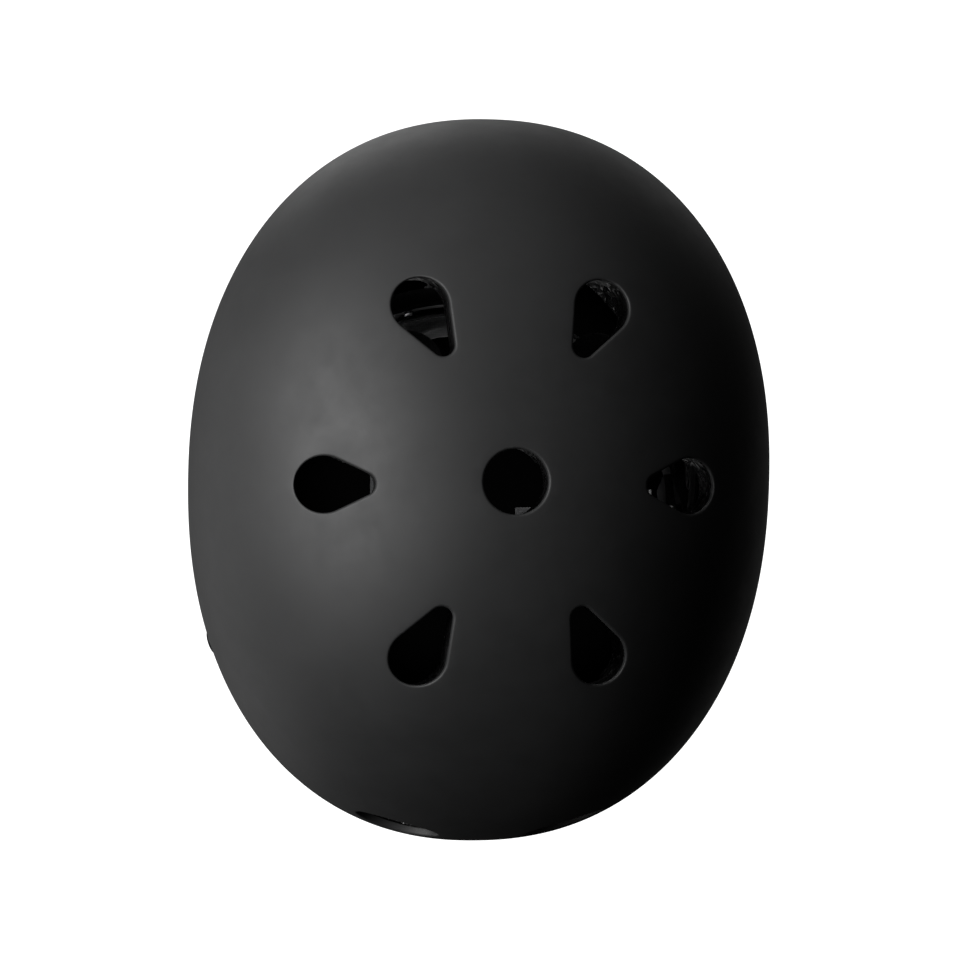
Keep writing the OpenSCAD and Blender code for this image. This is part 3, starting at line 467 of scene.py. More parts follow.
class Finish:
    """A material and the nodes that its surface is built from."""

    def __init__(self, name, colour, roughness, **values):
        self.material = bpy.data.materials.new(name)
        self.material.use_nodes = True
        self.tree = self.material.node_tree
        self.shader = self.tree.nodes["Principled BSDF"]
        self.colour = tuple(colour)
        self.material.diffuse_color = (*colour, 1)
        self.set("Base Color", (*colour, 1))
        self.set("Roughness", roughness)
        for key, value in values.items():
            self.set(key.replace("_", " "), value)
        self.coords = self.node("ShaderNodeTexCoord").outputs["Object"]
        self.relief = None

    def node(self, kind, inputs=None, **settings):
        return add_node(self.tree, kind, inputs, **settings)

    def set(self, key, value):
        if isinstance(value, bpy.types.NodeSocket):
            self.tree.links.new(value, self.shader.inputs[key])
        else:
            self.shader.inputs[key].default_value = value

    def math(self, operation, *values):
        return self.node("ShaderNodeMath", dict(enumerate(values)), operation=operation).outputs[0]

    def noise(self, size, detail, roughness, output="Fac"):
        made = self.node("ShaderNodeTexNoise", {"Vector": self.coords, "Scale": 1 / size,
                                                "Detail": detail, "Roughness": roughness})
        return made.outputs[output]

    def cells(self, size, feature="F1", vector=None, output="Distance", randomness=1.0):
        made = self.node("ShaderNodeTexVoronoi", {"Vector": vector or self.coords, "Scale": 1 / size,
                                                  "Randomness": randomness}, feature=feature)
        return made.outputs[output]

    def tone(self, k):
        return tuple(c * k for c in self.colour)

    def wander(self, noise, high, roughness, less, more):
        """Lets the roughness go a little below and above a value."""
        self.set("Roughness", self.spread(noise, 0.3, high, roughness - less, roughness + more))

    def spread(self, value, low, high, to_low=0.0, to_high=1.0):
        made = self.node("ShaderNodeMapRange", {"Value": value, "From Min": low, "From Max": high,
                                                "To Min": to_low, "To Max": to_high})
        return made.outputs["Result"]

    def mix(self, factor, a, b):
        made = self.node("ShaderNodeMix", data_type="RGBA")
        for socket, value in ((made.inputs[0], factor), (made.inputs[6], a), (made.inputs[7], b)):
            if isinstance(value, bpy.types.NodeSocket):
                self.tree.links.new(value, socket)
            elif socket.type == "RGBA":
                socket.default_value = (*value, 1)
            else:
                socket.default_value = value
        return made.outputs[2]

    def bump(self, height, depth, strength=1.0):
        """Adds relief of a real depth, one layer over the last."""
        values = {"Height": height, "Distance": depth, "Strength": strength}
        if self.relief:
            values["Normal"] = self.relief
        self.relief = self.node("ShaderNodeBump", values).outputs["Normal"]
        self.set("Normal", self.relief)

    def attribute(self, name):
        return self.node("ShaderNodeAttribute", attribute_name=name).outputs["Fac"]


_made = {}


def material(slot):
    """The finish of a slot, made when it is first asked for."""
    if slot not in _made:
        looks = bpy.context.scene.helmet_finish
        _made[slot] = MAKERS[slot](looks).material
    return _made[slot]


def shell_finish(looks):
    f = Finish("Matte shell", looks.shell_colour, looks.shell_roughness, Specular_IOR_Level=0.5)
    patches = f.spread(f.noise(35 * MM, 4, 0.6), 0.35, 0.7)
    scuffs = f.spread(f.noise(4 * MM, 6, 0.7), 0.56, 0.72)
    worn = f.math("MULTIPLY", f.math("MULTIPLY", f.attribute("edge"), scuffs), 0.6)
    f.set("Base Color", f.mix(worn, f.mix(patches, f.tone(0.86), f.tone(1.12)), f.tone(3.2)))
    f.wander(f.noise(12 * MM, 5, 0.65), 0.75, looks.shell_roughness, 0.03, 0.05)
    f.bump(f.noise(0.55 * MM, 2, 0.5), 0.012 * MM, 0.8)
    f.bump(f.noise(9 * MM, 2, 0.4), 0.02 * MM, 0.5)
    return f


def foam_finish(looks):
    """Moulded beads, each with its own tone, with painted shade in the seams between them."""
    f = Finish("Moulded bead foam", looks.foam_colour, 0.35, Specular_IOR_Level=0.6)
    sway = f.node("ShaderNodeVectorMath", {0: f.noise(9 * MM, 2, 0.5, "Color"), 1: (1.2 * MM,) * 3},
                  operation="MULTIPLY").outputs[0]
    warped = f.node("ShaderNodeVectorMath", {0: f.coords, 1: sway}, operation="ADD").outputs[0]
    seams = f.cells(looks.bead_size, "DISTANCE_TO_EDGE", warped)
    tone = f.node("ShaderNodeSeparateColor", {0: f.cells(looks.bead_size, "F1", warped, "Color")}).outputs[0]
    beads = f.mix(tone, f.tone(0.8), f.tone(1.25))
    # Painted shade: the seams between the beads, low in the bump, are darkened to 0.35 of the foam's colour.
    f.set("Base Color", f.mix(f.spread(seams, 0.0, 0.09), f.tone(0.35), beads))
    f.set("Roughness", f.spread(tone, 0, 1, 0.22, 0.45))
    f.bump(f.spread(seams, 0.0, 0.3), 0.5 * MM)
    f.bump(f.noise(0.7 * MM, 3, 0.6), 0.02 * MM, 0.6)
    return f


def pad_finish(looks):
    f = Finish("Brushed knit", looks.pad_colour, 0.85,
               Sheen_Weight=0.25, Sheen_Roughness=0.5, Specular_IOR_Level=0.25)
    knit = f.cells(0.85 * MM, randomness=0.35)
    nap = f.noise(5 * MM, 5, 0.7)
    lit_tops = f.mix(f.spread(nap, 0.3, 0.7), f.tone(1.05), f.tone(1.4))
    # Painted highlight and painted shade: the knit's loops and the nap's high spots are lighter, partly with
    # random fibre tone, and the knit is darkened between its loops, where the bump is low.
    f.set("Base Color", f.mix(f.spread(knit, 0.1, 0.6), lit_tops, f.tone(0.55)))
    f.bump(f.math("SUBTRACT", 1.0, knit), 0.12 * MM, 0.7)
    f.bump(nap, 0.12 * MM, 0.5)
    return f


def webbing_finish(looks):
    """Chevron weave that follows the webbing's own length and width, kept in metres in its UV map."""
    f = Finish("Woven webbing", looks.webbing_colour, 0.72,
               Sheen_Weight=0.2, Sheen_Roughness=0.4, Specular_IOR_Level=0.35)
    uv = f.node("ShaderNodeUVMap", uv_map="weave").outputs["UV"]
    split = f.node("ShaderNodeSeparateXYZ", {0: uv})
    across, along = split.outputs[0], split.outputs[1]
    fold = f.math("ABSOLUTE", f.math("SUBTRACT", f.math("FRACT", f.math("DIVIDE", across, 5 * MM)), 0.5))
    phase = f.math("ADD", f.math("MULTIPLY", fold, 5.0), f.math("DIVIDE", along, 1.3 * MM))

    def waves(value, turns):
        phase = f.math("MULTIPLY", value, turns * 2 * math.pi)
        return f.math("MULTIPLY_ADD", f.math("SINE", phase), 0.5, 0.5)

    ribs, cords = waves(phase, 1), waves(across, 1 / (0.62 * MM))
    weave = f.math("MULTIPLY", ribs, f.math("MULTIPLY_ADD", cords, 0.6, 0.4))
    lint = f.noise(1.1 * MM, 4, 0.7)
    lit_tops = f.mix(f.spread(lint, 0.35, 0.7), f.tone(1.1), f.tone(1.7))
    # Painted shade and painted highlight: the weave's grooves are darkened to half the webbing's colour and
    # its ribs lightened, partly with random lint tone, following the bump's heights.
    f.set("Base Color", f.mix(weave, f.tone(0.5), lit_tops))
    f.bump(weave, 0.16 * MM, 0.9)
    f.bump(lint, 0.05 * MM, 0.5)
    return f


def moulded_finish(name, colour, roughness, grain=0.35 * MM, depth=0.01 * MM):
    f = Finish(name, colour, roughness, Specular_IOR_Level=0.5)
    flow = f.spread(f.noise(14 * MM, 4, 0.6), 0.3, 0.7)
    f.set("Base Color", f.mix(flow, f.tone(0.88), f.tone(1.15)))
    f.wander(f.noise(5 * MM, 4, 0.6), 0.7, roughness, 0.05, 0.07)
    f.bump(f.noise(grain, 2, 0.5), depth, 0.7)
    return f


def metal_finish(name, colour, roughness):
    f = Finish(name, colour, roughness, Metallic=1.0)
    stain = f.spread(f.noise(3 * MM, 5, 0.65), 0.35, 0.7)
    f.set("Base Color", f.mix(stain, f.colour, f.tone(0.7)))
    f.wander(f.noise(1.2 * MM, 4, 0.6), 0.7, roughness, 0.06, 0.12)
    f.bump(f.noise(0.3 * MM, 2, 0.5), 0.006 * MM, 0.6)
    return f


def thread_finish(looks):
    f = Finish("Sewing thread", looks.thread_colour, 0.6, Sheen_Weight=0.2)
    f.set("Base Color", f.mix(f.noise(0.8 * MM, 3, 0.6), f.tone(0.7), f.tone(1.3)))
    f.bump(f.noise(0.2 * MM, 2, 0.5), 0.03 * MM, 0.5)
    return f


MAKERS = {
    "shell": shell_finish,
    "foam": foam_finish,
    "pad": pad_finish,
    "webbing": webbing_finish,
    "moulding": lambda looks: moulded_finish("Satin moulding", looks.moulding_colour, 0.36),
    "band": lambda looks: moulded_finish("Flexible band", looks.band_colour, 0.42, 0.5 * MM),
    "knob": lambda looks: moulded_finish("Soft-touch grip", looks.knob_colour, 0.62, 0.25 * MM, 0.02 * MM),
    "rivet": lambda looks: metal_finish("Blackened steel", looks.rivet_colour, 0.34),
    "steel": lambda looks: metal_finish("Zinc plate", looks.steel_colour, 0.3),
    "thread": thread_finish,
}


# Geometry nodes

class Tree:
    """A node tree that grows pieces from a start mesh, with named sizes."""

    def __init__(self, name, **sizes):
        self.tree = bpy.data.node_groups.new(name, "GeometryNodeTree")
        face = self.tree.interface
        face.new_socket(name="Geometry", in_out="INPUT", socket_type="NodeSocketGeometry")
        face.new_socket(name="Geometry", in_out="OUTPUT", socket_type="NodeSocketGeometry")
        self.ids = {}
        for key, value in sizes.items():
            label = key.replace("_", " ").capitalize()
            socket = face.new_socket(name=label, in_out="INPUT", socket_type="NodeSocketFloat")
            socket.default_value = value
            self.ids[key] = socket.identifier
        socket = face.new_socket(name="Finish", in_out="INPUT", socket_type="NodeSocketMaterial")
        self.ids["finish"] = socket.identifier
        self.start = self.tree.nodes.new("NodeGroupInput")
        self.keys = {key: k + 1 for k, key in enumerate([*sizes, "finish"])}

    def node(self, kind, inputs=None, **settings):
        return add_node(self.tree, kind, inputs, **settings)

    def made(self, kind, inputs, **settings):
        return self.node(kind, inputs, **settings).outputs[0]

    def size(self, key):
        return self.start.outputs[self.keys[key]]

    def math(self, operation, a, b):
        return self.made("ShaderNodeMath", {0: a, 1: b}, operation=operation)

    def vector(self, x=0.0, y=0.0, z=0.0):
        return self.made("ShaderNodeCombineXYZ", {0: x, 1: y, 2: z})

    def moved(self, geometry, shift=(0, 0, 0), scale=(1, 1, 1)):
        return self.made("GeometryNodeTransform",
                         {"Geometry": geometry, "Translation": shift, "Scale": scale})

    def cylinder(self, sides, radius, depth):
        return self.made("GeometryNodeMeshCylinder", {"Vertices": sides, "Radius": radius, "Depth": depth})

    def ball(self, segments, rings, radius):
        return self.made("GeometryNodeMeshUVSphere", {"Segments": segments, "Rings": rings, "Radius": radius})

    def stored(self, name):
        """A direction that the start mesh keeps on its points."""
        return self.made("GeometryNodeInputNamedAttribute", {"Name": name}, data_type="FLOAT_VECTOR")

    def aimed(self, vector, turn=None, **settings):
        """A rotation that carries an axis to a direction."""
        inputs = {"Vector": vector} if turn is None else {"Vector": vector, "Rotation": turn}
        return self.made("FunctionNodeAlignRotationToVector", inputs, **settings)

    def join(self, *parts):
        made = self.node("GeometryNodeJoinGeometry")
        for part in reversed(parts):
            self.tree.links.new(part, made.inputs[0])
        return made.outputs[0]

    def copies(self, instance, turn, points=None):
        """Ends the tree with a real copy on each point, smooth and with the finish."""
        if points is None:
            points = self.made("GeometryNodeMeshToPoints", {"Mesh": self.start.outputs[0]})
        placed_on = {"Points": points, "Instance": instance, "Rotation": turn}
        copied = self.made("GeometryNodeInstanceOnPoints", placed_on)
        real = self.made("GeometryNodeRealizeInstances", {"Geometry": copied})
        smooth = self.made("GeometryNodeSetShadeSmooth", {"Geometry": real})
        done = self.made("GeometryNodeSetMaterial", {"Geometry": smooth, "Material": self.size("finish")})
        self.tree.links.new(done, self.tree.nodes.new("NodeGroupOutput").inputs[0])
        return self


def grown(name, mesh, tree, finish, sharp=None, **sizes):
    """Runs a tree on a start mesh and keeps the result as a plain piece."""
    piece = placed(name, mesh)
    mod = piece.modifiers.new("Grow", "NODES")
    mod.node_group = tree.tree
    for key, value in {**sizes, "finish": finish}.items():
        mod[tree.ids[key]] = value
    made = evaluated_mesh(piece)
    if sharp:
        made.set_sharp_from_angle(angle=math.radians(sharp))
    return placed(name, made)


def point_mesh(points, **vectors):
    """A start mesh of loose points, each with directions."""
    mesh = bpy.data.meshes.new("start")
    mesh.from_pydata([tuple(p) for p in points], [], [])
    for key, value in vectors.items():
        layer = mesh.attributes.new(key, "FLOAT_VECTOR", "POINT")
        layer.data.foreach_set("vector", np.asarray(value, np.float32).ravel())
    return mesh


def line_mesh(paths):
    """A start mesh of lines, each given by its points and whether it closes."""
    points, edges = [], []
    for path, closed in paths:
        first, n = len(points), len(path)
        points += [tuple(p) for p in path]
        edges += [(first + k, first + (k + 1) % n) for k in range(n if closed else n - 1)]
    mesh = bpy.data.meshes.new("start")
    mesh.from_pydata(points, edges, [])
    return mesh


def stitch_tree():
    """Short stitches in even steps along each line."""
    t = Tree("Stitches", pitch=2.6 * MM, stitch_length=2.1 * MM, thread_thickness=0.5 * MM)
    curve = t.made("GeometryNodeMeshToCurve", {"Mesh": t.start.outputs[0]})
    walk = t.node("GeometryNodeCurveToPoints", {"Curve": curve, "Length": t.size("pitch")}, mode="LENGTH")
    thread = t.size("thread_thickness")
    stitch = t.moved(t.ball(6, 5, 0.5), scale=t.vector(thread, thread, t.size("stitch_length")))
    return t.copies(stitch, t.aimed(walk.outputs["Tangent"], axis="Z"), walk.outputs["Points"])


def rivet_tree():
    """A domed head, a shank and a wider tail on each point."""
    t = Tree("Rivets", head_radius=4.6 * MM, head_height=1.3 * MM,
             shank_radius=2.2 * MM, shank_length=6.5 * MM)
    place = t.node("ShaderNodeSeparateXYZ", {0: t.made("GeometryNodeInputPosition", {})})
    flat = t.vector(place.outputs[0], place.outputs[1], t.math("MAXIMUM", place.outputs[2], 0.0))
    cap = t.made("GeometryNodeSetPosition", {"Geometry": t.ball(32, 20, 1.0), "Position": flat})
    head_size = t.vector(t.size("head_radius"), t.size("head_radius"), t.size("head_height"))
    head = t.moved(cap, (0, 0, 0.1 * MM), head_size)
    radius, length = t.size("shank_radius"), t.size("shank_length")
    shank = t.moved(t.cylinder(24, radius, length), t.vector(z=t.math("MULTIPLY", length, -0.5)))
    wide = t.math("ADD", radius, 1.2 * MM)
    tail = t.moved(t.cylinder(24, wide, 0.9 * MM), t.vector(z=t.math("MULTIPLY", length, -1.0)))
    return t.copies(t.join(head, shank, tail), t.aimed(t.stored("outward"), axis="Z"))


def bar_tree():
    """Rounded bars on points, each along its own direction: grip ridges and knob ribs."""
    t = Tree("Grip bars", bar_length=10 * MM, bar_width=1.2 * MM, bar_height=1.2 * MM)
    sizes = t.vector(t.size("bar_height"), t.size("bar_width"), t.size("bar_length"))
    bar = t.moved(t.cylinder(14, 0.5, 1.0), scale=sizes)
    turn = t.aimed(t.stored("along"), axis="Z")
    return t.copies(bar, t.aimed(t.stored("outward"), turn, axis="X", pivot_axis="Z"))


def tree(kind):
    key = kind + " tree"
    if key not in _made:
        _made[key] = {"stitch": stitch_tree, "rivet": rivet_tree, "bar": bar_tree}[kind]()
    return _made[key]


def stitches(name, paths):
    sizes = bpy.context.scene.helmet_sizes
    return grown(name, line_mesh(paths), tree("stitch"), material("thread"), pitch=sizes.stitch_pitch,
                 stitch_length=sizes.stitch_length, thread_thickness=sizes.thread_thickness)


def bars(name, points, along, outward, length, width, height, slot):
    points = np.asarray(points)
    along, outward = np.broadcast_to(along, points.shape), np.broadcast_to(outward, points.shape)
    start = point_mesh(points, along=along, outward=outward)
    return grown(name, start, tree("bar"), material(slot), sharp=40,
                 bar_length=length, bar_width=width, bar_height=height)


# Shell

# Lengths on the dome from its widest section to the rim, and from a vent's middle past its outline.
RIM_SKIRT = 55 * MM
VENT_REACH = 40 * MM


def vent_loops(dome, grow):
    """Every vent's outline on a dome, larger all round by grow, with the direction that it is cut in."""
    down = np.array([0, 0, -1.0])
    crown = (CROWN_VENT_R + grow) * circle(72)
    found = [(dome.over(crown[:, 0], crown[:, 1]), down)]
    for place, reach, turn in DROPS:
        loop = drop_outline(place, reach, turn, DROP_R + grow, DROP_TIP_R + grow)
        found.append((dome.over(loop[:, 0], loop[:, 1]), down))
    for towards, z in END_VENTS:
        loop = oval_outline(END_VENT_HALF[0] + grow, END_VENT_HALF[1] + grow)
        inward = -np.array([math.cos(towards), math.sin(towards), 0])
        found.append((dome.out_to(loop[:, 0], z + loop[:, 1], towards), inward))
    return found


def dome_skin(skin, dome, loops, spacing, last):
    """Covers a dome with even triangles down to a way, leaving the vents' outlines open."""
    rows = []
    turn = 2 * math.pi * (dome.a + dome.b) / 2
    steps_up = int(dome.c * 1.5 / spacing)
    steps_low = max(4, int(RIM_SKIRT / spacing))
    ways = [*np.linspace(0, 1, steps_up + 1), *np.linspace(1, last, steps_low + 1)[1:]]
    for k, t in enumerate(ways):
        final = k == len(ways) - 1
        n = int(turn / spacing) if final else max(6, int(turn * math.sin(min(t, 1) * math.pi / 2) / spacing))
        n = n if t else 1
        az = (np.arange(n) + 0.5 * (k % 2) * (not final)) * 2 * math.pi / n
        rows.append(np.stack([az, np.full(n, t)], -1))
    border = rows.pop()
    grid = np.concatenate(rows)
    grid3 = dome.at(grid[:, 0], grid[:, 1])
    keep = np.ones(len(grid), bool)

    def flat(az, t):
        return np.stack([t * np.cos(az), t * np.sin(az)], -1)

    grid2 = flat(grid[:, 0], grid[:, 1])
    loops2 = []
    for loop in loops:
        az, t = dome.way(loop)
        loop2 = flat(az, t)
        loops2.append(loop2)
        near = np.linalg.norm(grid3 - loop.mean(0), axis=1) < VENT_REACH
        index = np.where(near & keep)[0]
        gap = np.linalg.norm(grid3[index, None] - loop[None], axis=-1).min(1)
        keep[index[(gap < 0.5 * spacing) | inside(grid2[index], loop2)]] = False
    parts = [grid2[keep], flat(border[:, 0], border[:, 1]), *loops2]
    solid = [grid3[keep], dome.at(border[:, 0], border[:, 1]), *loops]
    starts = np.cumsum([0] + [len(p) for p in parts])
    flat_points = np.concatenate(parts)
    faces = triangulate(flat_points, [(starts[k], len(parts[k])) for k in range(1, len(parts))])
    faces = np.array(faces)
    middles = flat_points[faces].mean(1)
    for loop2 in loops2:
        out = ~inside(middles, loop2)
        faces, middles = faces[out], middles[out]
    base = skin.add(np.concatenate(solid))[0]
    skin.faces += [tuple(int(v) + base for v in f) for f in faces]
    ids = [list(range(base + starts[k], base + starts[k + 1])) for k in range(1, len(parts))]
    return ids[0], ids[1:]


def curve_rows(a, corner, b, steps):
    """Rows of points that bend from a past a corner to b."""
    return [(1 - t) ** 2 * a + 2 * t * (1 - t) * corner + t ** 2 * b for t in np.linspace(0, 1, steps + 1)]


def make_shell(sizes):
    """Both faces of the shell, joined by rolled lips at the vents and a half round at the rim."""
    skin = Skin()
    lip = sizes.lip_radius
    small = lip * 0.45
    spacing = sizes.shell_spacing
    last = 2 - RIM_ROLL / RIM_DEPTH
    outside, inside_loops = vent_loops(outer_dome, lip), vent_loops(inner_dome, small)
    edge_out, out_ids = dome_skin(skin, outer_dome, [p for p, _ in outside], spacing, last)
    edge_in, in_ids = dome_skin(skin, inner_dome, [p for p, _ in inside_loops], spacing * 1.4, last)
    corners = zip(vent_loops(outer_dome, 0), vent_loops(inner_dome, 0))
    rings = zip(out_ids, in_ids, outside, inside_loops, corners)
    for ids_o, ids_i, (lo, cut), (li, _), ((co, _), (ci, _)) in rings:
        top = curve_rows(lo, co, co + cut * lip, 6)[1:]
        bottom = curve_rows(ci - cut * small, ci, li, 3)[:-1]
        rows = [ids_o, *(skin.add(p, 1.0 if k < 4 else 0.4) for k, p in enumerate(top))]
        rows += [skin.add(p, 0.2) for p in bottom] + [ids_i]
        skin.bands(rows)
    outer_edge = np.array([skin.points[k] for k in edge_out])
    az = np.arctan2(outer_edge[:, 1], outer_edge[:, 0])
    inner_edge = inner_dome.at(az, last)
    low_out, low_in = outer_dome.at(az, 2.0), inner_dome.at(az, 2.0)
    bottom = (low_out + low_in) / 2
    rows = [edge_out]
    for ends, wear in (((outer_edge, low_out, bottom), 0.8), ((bottom, low_in, inner_edge), 0.3)):
        rows += [skin.add(p, wear) for p in curve_rows(*ends, 4)[1:]]
    skin.bands(rows)
    zip_loops(skin, rows[-1], edge_in)
    return skin


def zip_loops(skin, a, b):
    """Joins two closed loops that run the same way round but have different numbers of points."""
    pa, pb = np.array([skin.points[k] for k in a]), np.array([skin.points[k] for k in b])
    aa, ab = np.unwrap(np.arctan2(pa[:, 1], pa[:, 0])), np.unwrap(np.arctan2(pb[:, 1], pb[:, 0]))
    i = j = 0
    start = int(np.argmin(np.abs((ab - aa[0] + math.pi) % (2 * math.pi) - math.pi)))
    b = b[start:] + b[:start]
    ab = np.concatenate([ab[start:], ab[:start] + 2 * math.pi])
    ab += round((aa[0] - ab[0]) / (2 * math.pi)) * 2 * math.pi
    na, nb = len(a), len(b)
    aa, ab = np.append(aa, aa[0] + 2 * math.pi), np.append(ab, ab[0] + 2 * math.pi)
    while i < na or j < nb:
        if j >= nb or (i < na and aa[i + 1] <= ab[j + 1]):
            skin.faces.append((a[i % na], a[(i + 1) % na], b[j % nb]))
            i += 1
        else:
            skin.faces.append((a[i % na], b[(j + 1) % nb], b[j % nb]))
            j += 1


class HELMET_OT_shell(bpy.types.Operator):
    """Make the hard shell with rolled vent lips and a rounded rim"""
    bl_idname = "helmet.shell"
    bl_label = "Shell"

    def execute(self, context):
        skin = make_shell(context.scene.helmet_sizes)
        shell = skin.object("shell", material("shell"), sharp=60)
        settle(shell, "shell", "outer_shell")
        # The low lamps only edge the shell with light, and the fill lamps leave it dark.
        link_lights(lamps_named("low"), "receiver_collection", "INCLUDE", shell)
        link_lights(lamps_named("fill", "under"), "receiver_collection", "EXCLUDE", shell)
        return {"FINISHED"}


# Foam

# How far the foam's lower edge bulges.
RIM_BULGE = 1.3 * MM
# Widths of the dial's notch, each with how far back it starts, and the notch's lower and upper ends.
NOTCHES = np.array([(67, 99.5), (35, 111)]) * MM
NOTCH_ENDS = (-70 * MM, -43 * MM)


def prism(name, outline, low, high, place):
    """A closed prism of an outline between two depths, carried into place by a function of points."""
    skin = Skin()
    n = len(outline)
    rows = [skin.add(place(np.column_stack([outline, np.full(n, d)]))) for d in (low, high)]
    skin.strip(rows[0], rows[1])
    skin.faces += [tuple(reversed(rows[0])), tuple(rows[1])]
    return skin.object(name, None, smooth=False)


def on_shell(p, towards):
    """Axes at a point of the shell, with Z outwards and X towards a second point."""
    z = outer_dome.normal(p)
    x = unit((towards - p) - np.dot(towards - p, z) * z)
    return np.column_stack([x, np.cross(z, x), z])


def side_point(dome, y, z):
    """The point on the left half of a dome at a lengthways place and a height."""
    return dome.out_to(np.array([y]), np.array([z]), 0.0)[0]


def divider_point(lean, along):
    return DIVIDER + np.array([0, along * math.sin(lean), STRAP_MEET + along * math.cos(lean)])


def rivet_places():
    """Each rivet's point on the shell and its axes, on both sides."""
    found = []
    for lean, (y, z), _ in LEANS.values():
        p = side_point(outer_dome, y, z)
        axes = on_shell(p, divider_point(lean, DIVIDER_REACH))
        for s in (1, -1):
            flip = np.array([s, 1, 1])
            found.append((p * flip, axes * flip[:, None]))
    return found


class HELMET_OT_foam(bpy.types.Operator):
    """Make the bead foam liner with its vents, air channels and pockets"""
    bl_idname = "helmet.foam"
    bl_label = "Foam liner"

    def execute(self, context):
        skin = Skin()
        loops = []
        az = np.arange(180) * 2 * math.pi / 180
        ways = [*np.linspace(0, 1, 45)[1:], *np.linspace(1, 2, 15)[1:]]
        for dome in (foam_dome, cavity_dome):
            top = skin.add([(0, 0, dome.c)])[0]
            rows = [skin.add(dome.at(az, t)) for t in ways]
            skin.fan(rows[0], top)
            skin.bands(rows)
            loops.append(rows[-1])
        outer, inner = (np.array([skin.points[k] for k in loop]) for loop in loops)
        rows = [loops[0]]
        for t in (0.06, 0.16, 0.5, 0.84, 0.94):
            drop = RIM_BULGE * (1 - abs(2 * t - 1) ** 4)
            rows.append(skin.add(outer + (inner - outer) * t - np.array([0, 0, drop])))
        skin.bands([*rows, loops[1]])
        foam = skin.object("foam", None)
        tools = list(foam_tools())
        for tool in tools:
            cut = foam.modifiers.new("Cut", "BOOLEAN")
            cut.object, cut.operation, cut.solver = tool, "DIFFERENCE", "MANIFOLD"
        mesh = evaluated_mesh(foam)
        for tool in tools:
            bpy.data.objects.remove(tool)
        settle(finish_mesh(mesh, "foam", material("foam"), sharp=38), "foam", "foam_liner")
        return {"FINISHED"}


def foam_tools():
    """The closed solids that are cut out of the foam."""
    def same(p):
        return p

    over = 120 * MM
    yield prism("crown", (CROWN_VENT_R + VENT_STEP) * circle(64), VENT_FLOOR, over, same)
    for place, reach, turn in DROPS:
        outline = drop_outline(place, reach, turn, DROP_R + VENT_STEP, DROP_TIP_R + VENT_STEP)
        yield prism("drop", outline, VENT_FLOOR, over, same)
    for towards, z in END_VENTS:
        def outwards(p, c=math.cos(towards), s=math.sin(towards), z=z):
            return np.stack([c * p[:, 2] - s * p[:, 0], s * p[:, 2] + c * p[:, 0], z + p[:, 1]], -1)

        outline = oval_outline(END_VENT_HALF[0] + VENT_STEP, END_VENT_HALF[1] + VENT_STEP)
        yield prism("end", outline, 60 * MM, 160 * MM, outwards)
    half = CHANNEL_WIDTH / 2
    for s in (-1, 1):
        x = s * CORNER_DROP[0]
        reach = channel_dome.b * (1 - abs(x / channel_dome.a) ** PLAN_POWER) ** (1 / PLAN_POWER) - 1e-5
        y = reach * np.cos(np.linspace(0, math.pi, 49))
        arch = np.stack([y, channel_dome.over(np.full(49, x), y)[:, 2]], -1)
        side = np.concatenate([arch, [[-reach, -20 * MM], [reach, -20 * MM]]])
        yield prism("long", side, x - half, x + half, lambda p: p[:, [2, 0, 1]])
    down = np.linspace(-72, 72, 49) / 90
    side = channel_dome.at(np.where(down < 0, math.pi, 0.0), np.abs(down))[:, [0, 2]]
    yield prism("cross", side, -half, half, lambda p: p[:, [0, 2, 1]])
    box = np.array([[-11, -9], [72, -9], [72, 9], [-11, 9]]) * MM
    for p, axes in rivet_places():
        yield prism("pocket", box, -POCKET_DEPTH, 0.5 * MM, lambda q, p=p, axes=axes: p + q @ axes.T)
    wall = side_point(cavity_dome, PIN[1], PIN[2])[0]
    for s in (-1, 1):
        yield prism("anchor", ANCHOR_R * circle(64), wall - 13 * MM, wall + 3 * MM,
                    lambda p, s=s: np.stack([s * p[:, 2], PIN[1] + p[:, 0], PIN[2] + p[:, 1]], -1))
    for width, reach in NOTCHES:
        notch = np.array([[-width, reach], [width, reach], [width, 2 * reach], [-width, 2 * reach]]) / 2
        yield prism("notch", notch, *NOTCH_ENDS, same)


# Pads

SWELL_FRAMES = 16


def pad_piece(name, outline, carry, sizes, thick=PAD_THICK):
    """A moulded pad: a thin welded edge all round a raised middle, laid on what carry gives.

    carry takes places in the pad's own plane and returns points and the directions away from the foam.
    """
    spacing = sizes.pad_spacing
    low, high = outline.min(0), outline.max(0)
    xs = np.arange(low[0], high[0], spacing)
    ys = np.arange(low[1], high[1], spacing * 0.87)
    grid = np.array([(x + spacing / 2 * (k % 2), y) for k, y in enumerate(ys) for x in xs])
    grid = grid[inside(grid, outline)]
    grid = grid[edge_distance(grid, outline) > 0.55 * spacing]
    flat = np.concatenate([outline, grid])
    faces = np.array(triangulate(flat, [(0, len(outline))]))
    faces = faces[inside(flat[faces].mean(1), outline)]
    edge = edge_distance(flat, outline)
    welt, rise = sizes.pad_edge_width, sizes.pad_shoulder
    risen = np.clip((edge - welt) / rise, 0, 1)
    height = sizes.pad_edge_thickness + (thick - sizes.pad_edge_thickness) * np.sqrt(1 - (1 - risen) ** 2)
    base, away = carry(flat)
    skin = Skin()
    top = skin.add(base + away * height[:, None])
    under = skin.add(base + away * 0.05 * MM)
    skin.faces += [tuple(top[v] for v in f) for f in faces]
    skin.faces += [tuple(under[v] for v in reversed(f)) for f in faces]
    n = len(outline)
    skin.strip(top[:n], under[:n])
    piece = skin.object(name, material("pad"))
    swell(piece, np.concatenate([risen <= 0, np.ones(len(flat), bool)]), sizes)
    line = outline_inset(outline, welt * 0.55)
    base, away = carry(line)
    return piece, (base + away * (sizes.pad_edge_thickness + 0.12 * MM), True)


